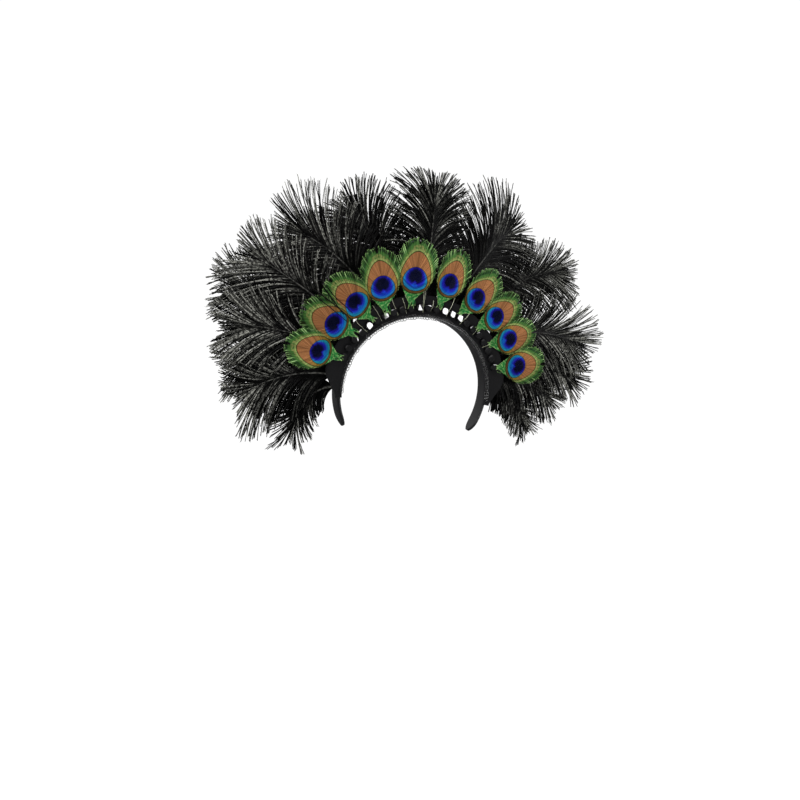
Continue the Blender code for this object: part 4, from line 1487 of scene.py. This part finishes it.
def trim_tree():
    """Geometry tree that turns a line into a cord with a row of loops on it."""
    tree, given = new_tree("Looped Trim", {
        "Pitch": "Float", "Height": "Float", "Width": "Float", "Cord": "Float",
        "Seed": "Int", "Material": "Material"},
        {"out": "FLOAT_VECTOR", "along": "FLOAT_VECTOR"})
    line = add_node(tree, "GeometryNodeMeshToCurve", {"Mesh": given["Geometry"]})
    cord = add_node(tree, "GeometryNodeCurvePrimitiveCircle",
                    {"Resolution": 5, "Radius": given["Cord"]})
    core = add_node(tree, "GeometryNodeCurveToMesh", {
        "Curve": line, "Profile Curve": cord, "Fill Caps": True, "Scale": 1.6})
    ring = add_node(tree, "GeometryNodeCurvePrimitiveCircle",
                    {"Resolution": 12, "Radius": 0.5})
    size = add_node(tree, "ShaderNodeCombineXYZ",
                    {0: given["Width"], 1: given["Height"], 2: 1.0})
    ring = add_node(tree, "GeometryNodeTransform", {"Geometry": ring, "Scale": size})
    ring = add_node(tree, "GeometryNodeTransform",
                    {"Geometry": ring, "Rotation": (math.pi / 2, 0, 0)})
    loop = add_node(tree, "GeometryNodeCurveToMesh", {"Curve": ring, "Profile Curve": cord})
    places = add_node(tree, "GeometryNodeResampleCurve",
                      {"Curve": line, "Length": given["Pitch"]}, mode="LENGTH")
    scatter = add_node(tree, "FunctionNodeRandomValue", {
        0: (-0.35, -0.25, -0.35), 1: (0.35, 0.25, 0.35), "Seed": given["Seed"]},
        data_type="FLOAT_VECTOR")
    leaning = add_node(tree, "ShaderNodeVectorMath", {0: given["out"], 1: scatter},
                       operation="ADD")
    upright = add_node(tree, "FunctionNodeAlignRotationToVector", {"Vector": leaning},
                       axis="Z")
    turned = add_node(tree, "FunctionNodeAlignRotationToVector",
                      {"Rotation": upright, "Vector": given["along"]},
                      axis="X", pivot_axis="Z")
    vary = add_node(tree, "FunctionNodeRandomValue",
                    {2: 0.8, 3: 1.2, "Seed": given["Seed"]}, data_type="FLOAT")
    loops = add_node(tree, "GeometryNodeInstanceOnPoints", {
        "Points": places, "Instance": loop, "Rotation": turned, "Scale": vary.outputs[1]})
    both = add_node(tree, "GeometryNodeJoinGeometry", {0: [core, loops]})
    smoothed = add_node(tree, "GeometryNodeSetShadeSmooth", {"Geometry": both})
    close_tree(tree, [smoothed], given["Material"])
    return tree


class HEADBAND_OT_band(bpy.types.Operator):
    """Cover the band, cut the felt and sew on the looped trim"""
    bl_idname = "headband.band"
    bl_label = "Band, felt and trim"

    def execute(self, context):
        settings = context.scene.headband_band
        band = add_object("satin_band", band_mesh())
        band.data.materials.append(satin_material(settings))
        finish_piece(band, "satin", "headband")

        felt = grow("felt_backing", felt_mesh(), felt_tree(), {
            "Density": float(settings.fibres), "Fibre Length": settings.fibre_length,
            "Seed": settings.seed, "Material": felt_material(settings)})
        finish_piece(felt, "felt", "fan_backing")

        trim = grow("looped_trim", trim_source(), trim_tree(), {
            "Pitch": settings.loop_pitch, "Height": settings.loop_height,
            "Width": settings.loop_width, "Cord": settings.loop_cord,
            "Seed": settings.seed, "Material": trim_material(settings)},
            spare=("out", "along"))
        finish_piece(trim, "felt")
        return {"FINISHED"}


# Strands laid over the front

# Points of a strand, how far it sways sideways, how far it stands off the felt
# and bows out from it, the scatter and taper of its thickness, and half the
# thickness of stems and stray barbs
STRAND_POINTS = 9
STRAND_SWAY = 0.0006
STRAND_STAND = 0.0002
STRAND_BOW = 0.001
STRAND_SPREAD = (0.6, 1.0)
STRAND_TAPER = 0.4
STEM_RADIUS = 0.00027
STRAY_RADIUS = 0.00105

# One row a strand: angle and place over the band's edge in millimetres of its
# top, then of its end, and how far it stands in front of the felt at both.
# Stems run to gaps between stones, stray barbs across the peacock feathers.
STEMS = (
    (-3.0, 33, -3.1, 5, 0, 0), (-3.9, 30, -3.6, 6, 0, 0), (-17.8, 21, -16.5, 5, 0, 0),
    (-24.4, 24, -23.2, 5, 0, 0), (-37.0, 25, -36.2, 6, 0, 0), (-49.8, 22, -49.0, 6, 0, 0),
    (3.8, 18, 3.2, 7, 0, 0), (17.6, 27, 16.6, 6, 0, 0), (31.4, 22, 29.6, 5, 0, 0),
    (41.8, 26, 43.2, 6, 0, 0), (56.4, 20, 55.3, 6, 0, 0),
)
STRAYS = (
    (-55.0, 82, -52.3, 30, 7, 8), (-51.5, 78, -53.5, 40, 7, 8), (-56.0, 76, -54.8, 31, 6, 8),
    (-50.5, 70, -49.9, 34, 6, 8),
)


def laid_lines(rows, radius, rng):
    """Lines of strands over the front, with the thickness of their points."""
    share = np.linspace(0.0, 1.0, STRAND_POINTS)
    lines = []
    for top_deg, top_mm, end_deg, end_mm, top_front, end_front in rows:
        angle = np.radians(top_deg + (end_deg - top_deg) * share)
        offset = (top_mm + (end_mm - top_mm) * share) / 1000
        sway = rng.normal(0, STRAND_SWAY) * np.sin(np.pi * share) * (1 - share)
        stand = (top_front + (end_front - top_front) * share) / 1000
        front = (BACKING_FRONT + radius + STRAND_STAND + stand
                 + STRAND_BOW * np.sin(np.pi * share) ** 2)
        angle = angle + sway / HEAD_RISE
        lines.append(to_row(on_fan(angle, arch_radius(angle, offset), front)))
    widths = (radius * rng.uniform(*STRAND_SPREAD, len(lines))[:, None]
              * (1 - STRAND_TAPER * share))
    return np.stack(lines), widths


class HEADBAND_OT_strands(bpy.types.Operator):
    """Lay the pale feather stems and the stray black barbs over the front"""
    bl_idname = "headband.strands"
    bl_label = "Stems and stray barbs"

    def execute(self, context):
        settings = context.scene.headband_peacock
        tree = bpy.data.node_groups.get("Barbs and Barbules") or feather_tree()
        black = (bpy.data.materials.get("dyed_ostrich_feather")
                 or plume_material(context.scene.headband_plumes))
        for name, rows, radius, slot, material, tone in (
                ("feather_stems", STEMS, STEM_RADIUS, "peacock", stem_material(settings), 0.0),
                ("stray_barbs", STRAYS, STRAY_RADIUS, "ostrich", black, 0.1)):
            lines, widths = laid_lines(rows, radius, np.random.default_rng(settings.seed))
            source = strand_mesh(name, lines, thickness=widths,
                                 heading=np.gradient(lines, axis=1), fluff=0.0, tone=tone)
            piece = grow(name, source, tree, {
                "Barb Radius": 1.0, "Barbule Length": 0.001, "Barbule Radius": 0.0001,
                "Barbule Step": 0.005, "Barbule Lean": 0.5, "Face": (0, -1, 0),
                "Seed": settings.seed, "Material": material},
                spare=("thickness", "heading", "fluff"))
            finish_piece(piece, slot)
        return {"FINISHED"}


# Stage

CAMERA_TARGET = (-0.0199, -0.0014, -0.0852)
CAMERA_SENSOR_MM = 36.0
CAMERA_REACH = 50.0
FLOOR_HALF = 6.0

# One row a light: azimuth and elevation in degrees, distance, width, height
# and power in watts
SOFTBOXES = (
    ("softbox_key", -52, 38, 2.0, 1.0, 1.0, 36),
    ("softbox_right", 36, 6, 1.6, 0.24, 0.9, 14),
    ("softbox_top", -10, 78, 1.8, 0.9, 0.9, 20),
)

# Brightness of the white room low down and high up, as shares of its setting,
# and that of the plain background that the camera sees
SKY_LOW = 0.3
SKY_HIGH = 1.7
BACKGROUND = 1.05


def add_softbox(name, azimuth, elevation, distance, width, height, power):
    """Rectangular soft light that faces the object from a direction."""
    light = bpy.data.lights.new(name, "AREA")
    light.shape = "RECTANGLE"
    light.size = width
    light.size_y = height
    light.energy = power
    piece = bpy.data.objects.new(name, light)
    turn, rise = math.radians(azimuth), math.radians(elevation)
    out = Vector((math.sin(turn) * math.cos(rise), -math.cos(turn) * math.cos(rise),
                  math.sin(rise)))
    piece.location = out * distance
    piece.rotation_euler = (-out).to_track_quat("-Z", "Y").to_euler()
    bpy.context.scene.collection.objects.link(piece)


class HEADBAND_OT_stage(bpy.types.Operator):
    """Set the pale floor, the white room, the soft lights and the camera"""
    bl_idname = "headband.stage"
    bl_label = "Studio"

    def execute(self, context):
        settings = context.scene.headband_studio
        scene = context.scene
        scene.view_settings.view_transform = "Standard"

        corners = [(x, y, -settings.floor_drop) for x, y in (
            (-FLOOR_HALF, -FLOOR_HALF), (FLOOR_HALF, -FLOOR_HALF),
            (FLOOR_HALF, FLOOR_HALF), (-FLOOR_HALF, FLOOR_HALF))]
        floor = add_object("studio_floor", mesh_from("studio_floor", corners,
                                                     faces=[(0, 1, 2, 3)]))
        material, tree = new_material("white_paper_sweep")
        end_material(tree, {"Base Color": settings.paper, "Roughness": 0.8,
                            "Emission Color": (1, 1, 1, 1), "Emission Strength": 0.65})
        floor.data.materials.append(material)
        floor.visible_glossy = False

        world = bpy.data.worlds.new("white_room")
        scene.world = world
        world.use_nodes = True
        tree = world.node_tree
        tree.nodes.clear()
        coordinates = add_node(tree, "ShaderNodeTexCoord")
        way = add_node(tree, "ShaderNodeSeparateXYZ", {0: coordinates.outputs["Generated"]})
        room = add_node(tree, "ShaderNodeMapRange", {
            "Value": way.outputs[2], "From Min": -0.3, "From Max": 0.7,
            "To Min": settings.sky * SKY_LOW, "To Max": settings.sky * SKY_HIGH})
        seen = add_node(tree, "ShaderNodeLightPath")
        strength = add_node(tree, "ShaderNodeMapRange", {
            "Value": seen.outputs["Is Camera Ray"], "To Min": room, "To Max": BACKGROUND})
        sky = add_node(tree, "ShaderNodeBackground",
                       {"Color": (1, 1, 1, 1), "Strength": strength})
        add_node(tree, "ShaderNodeOutputWorld", {"Surface": sky})

        for row in SOFTBOXES:
            add_softbox(*row)

        turn, roll = settings.azimuth, settings.roll
        look = Vector((-math.sin(turn), math.cos(turn), 0))
        level = Vector((math.cos(turn), math.sin(turn), 0))
        right = level * math.cos(roll) + Vector((0, 0, 1)) * math.sin(roll)
        up = Vector((0, 0, 1)) * math.cos(roll) - level * math.sin(roll)
        camera = bpy.data.cameras.new("camera")
        camera.lens = settings.lens
        camera.sensor_width = CAMERA_SENSOR_MM
        camera.clip_end = CAMERA_REACH
        piece = bpy.data.objects.new("camera", camera)
        turned = Matrix((right, up, -look)).transposed().to_4x4()
        turned.translation = Vector(CAMERA_TARGET) - look * settings.distance
        piece.matrix_world = turned
        scene.collection.objects.link(piece)
        scene.camera = piece
        return {"FINISHED"}


class HEADBAND_PT_panel(bpy.types.Panel):
    """Pieces of the headband and their settings"""
    bl_label = "Feather Headband"
    bl_idname = "HEADBAND_PT_panel"
    bl_space_type = "VIEW_3D"
    bl_region_type = "UI"
    bl_category = "Headband"

    def draw(self, context):
        for operator, group in STEPS:
            box = self.layout.box()
            box.operator(operator.bl_idname)
            settings = getattr(context.scene, group)
            for name in settings.bl_rna.properties.keys():
                if name not in ("rna_type", "name"):
                    box.prop(settings, name)


GROUPS = (
    ("headband_plumes", PlumeSettings),
    ("headband_peacock", PeacockSettings),
    ("headband_stones", StoneSettings),
    ("headband_band", BandSettings),
    ("headband_studio", StudioSettings),
)
STEPS = (
    (HEADBAND_OT_plumes, "headband_plumes"),
    (HEADBAND_OT_peacock, "headband_peacock"),
    (HEADBAND_OT_strands, "headband_peacock"),
    (HEADBAND_OT_stones, "headband_stones"),
    (HEADBAND_OT_band, "headband_band"),
    (HEADBAND_OT_stage, "headband_studio"),
)
CLASSES = (*(kind for _, kind in GROUPS), *(step for step, _ in STEPS), HEADBAND_PT_panel)


def register():
    for kind in CLASSES:
        bpy.utils.register_class(kind)
    for name, kind in GROUPS:
        setattr(bpy.types.Scene, name, PointerProperty(type=kind))


def unregister():
    for name, _ in GROUPS:
        delattr(bpy.types.Scene, name)
    for kind in reversed(CLASSES):
        bpy.utils.unregister_class(kind)


def main():
    register()
    bpy.ops.headband.stage()
    bpy.ops.headband.plumes()
    bpy.ops.headband.peacock()
    bpy.ops.headband.strands()
    bpy.ops.headband.stones()
    bpy.ops.headband.band()


if __name__ == "__main__":
    main()
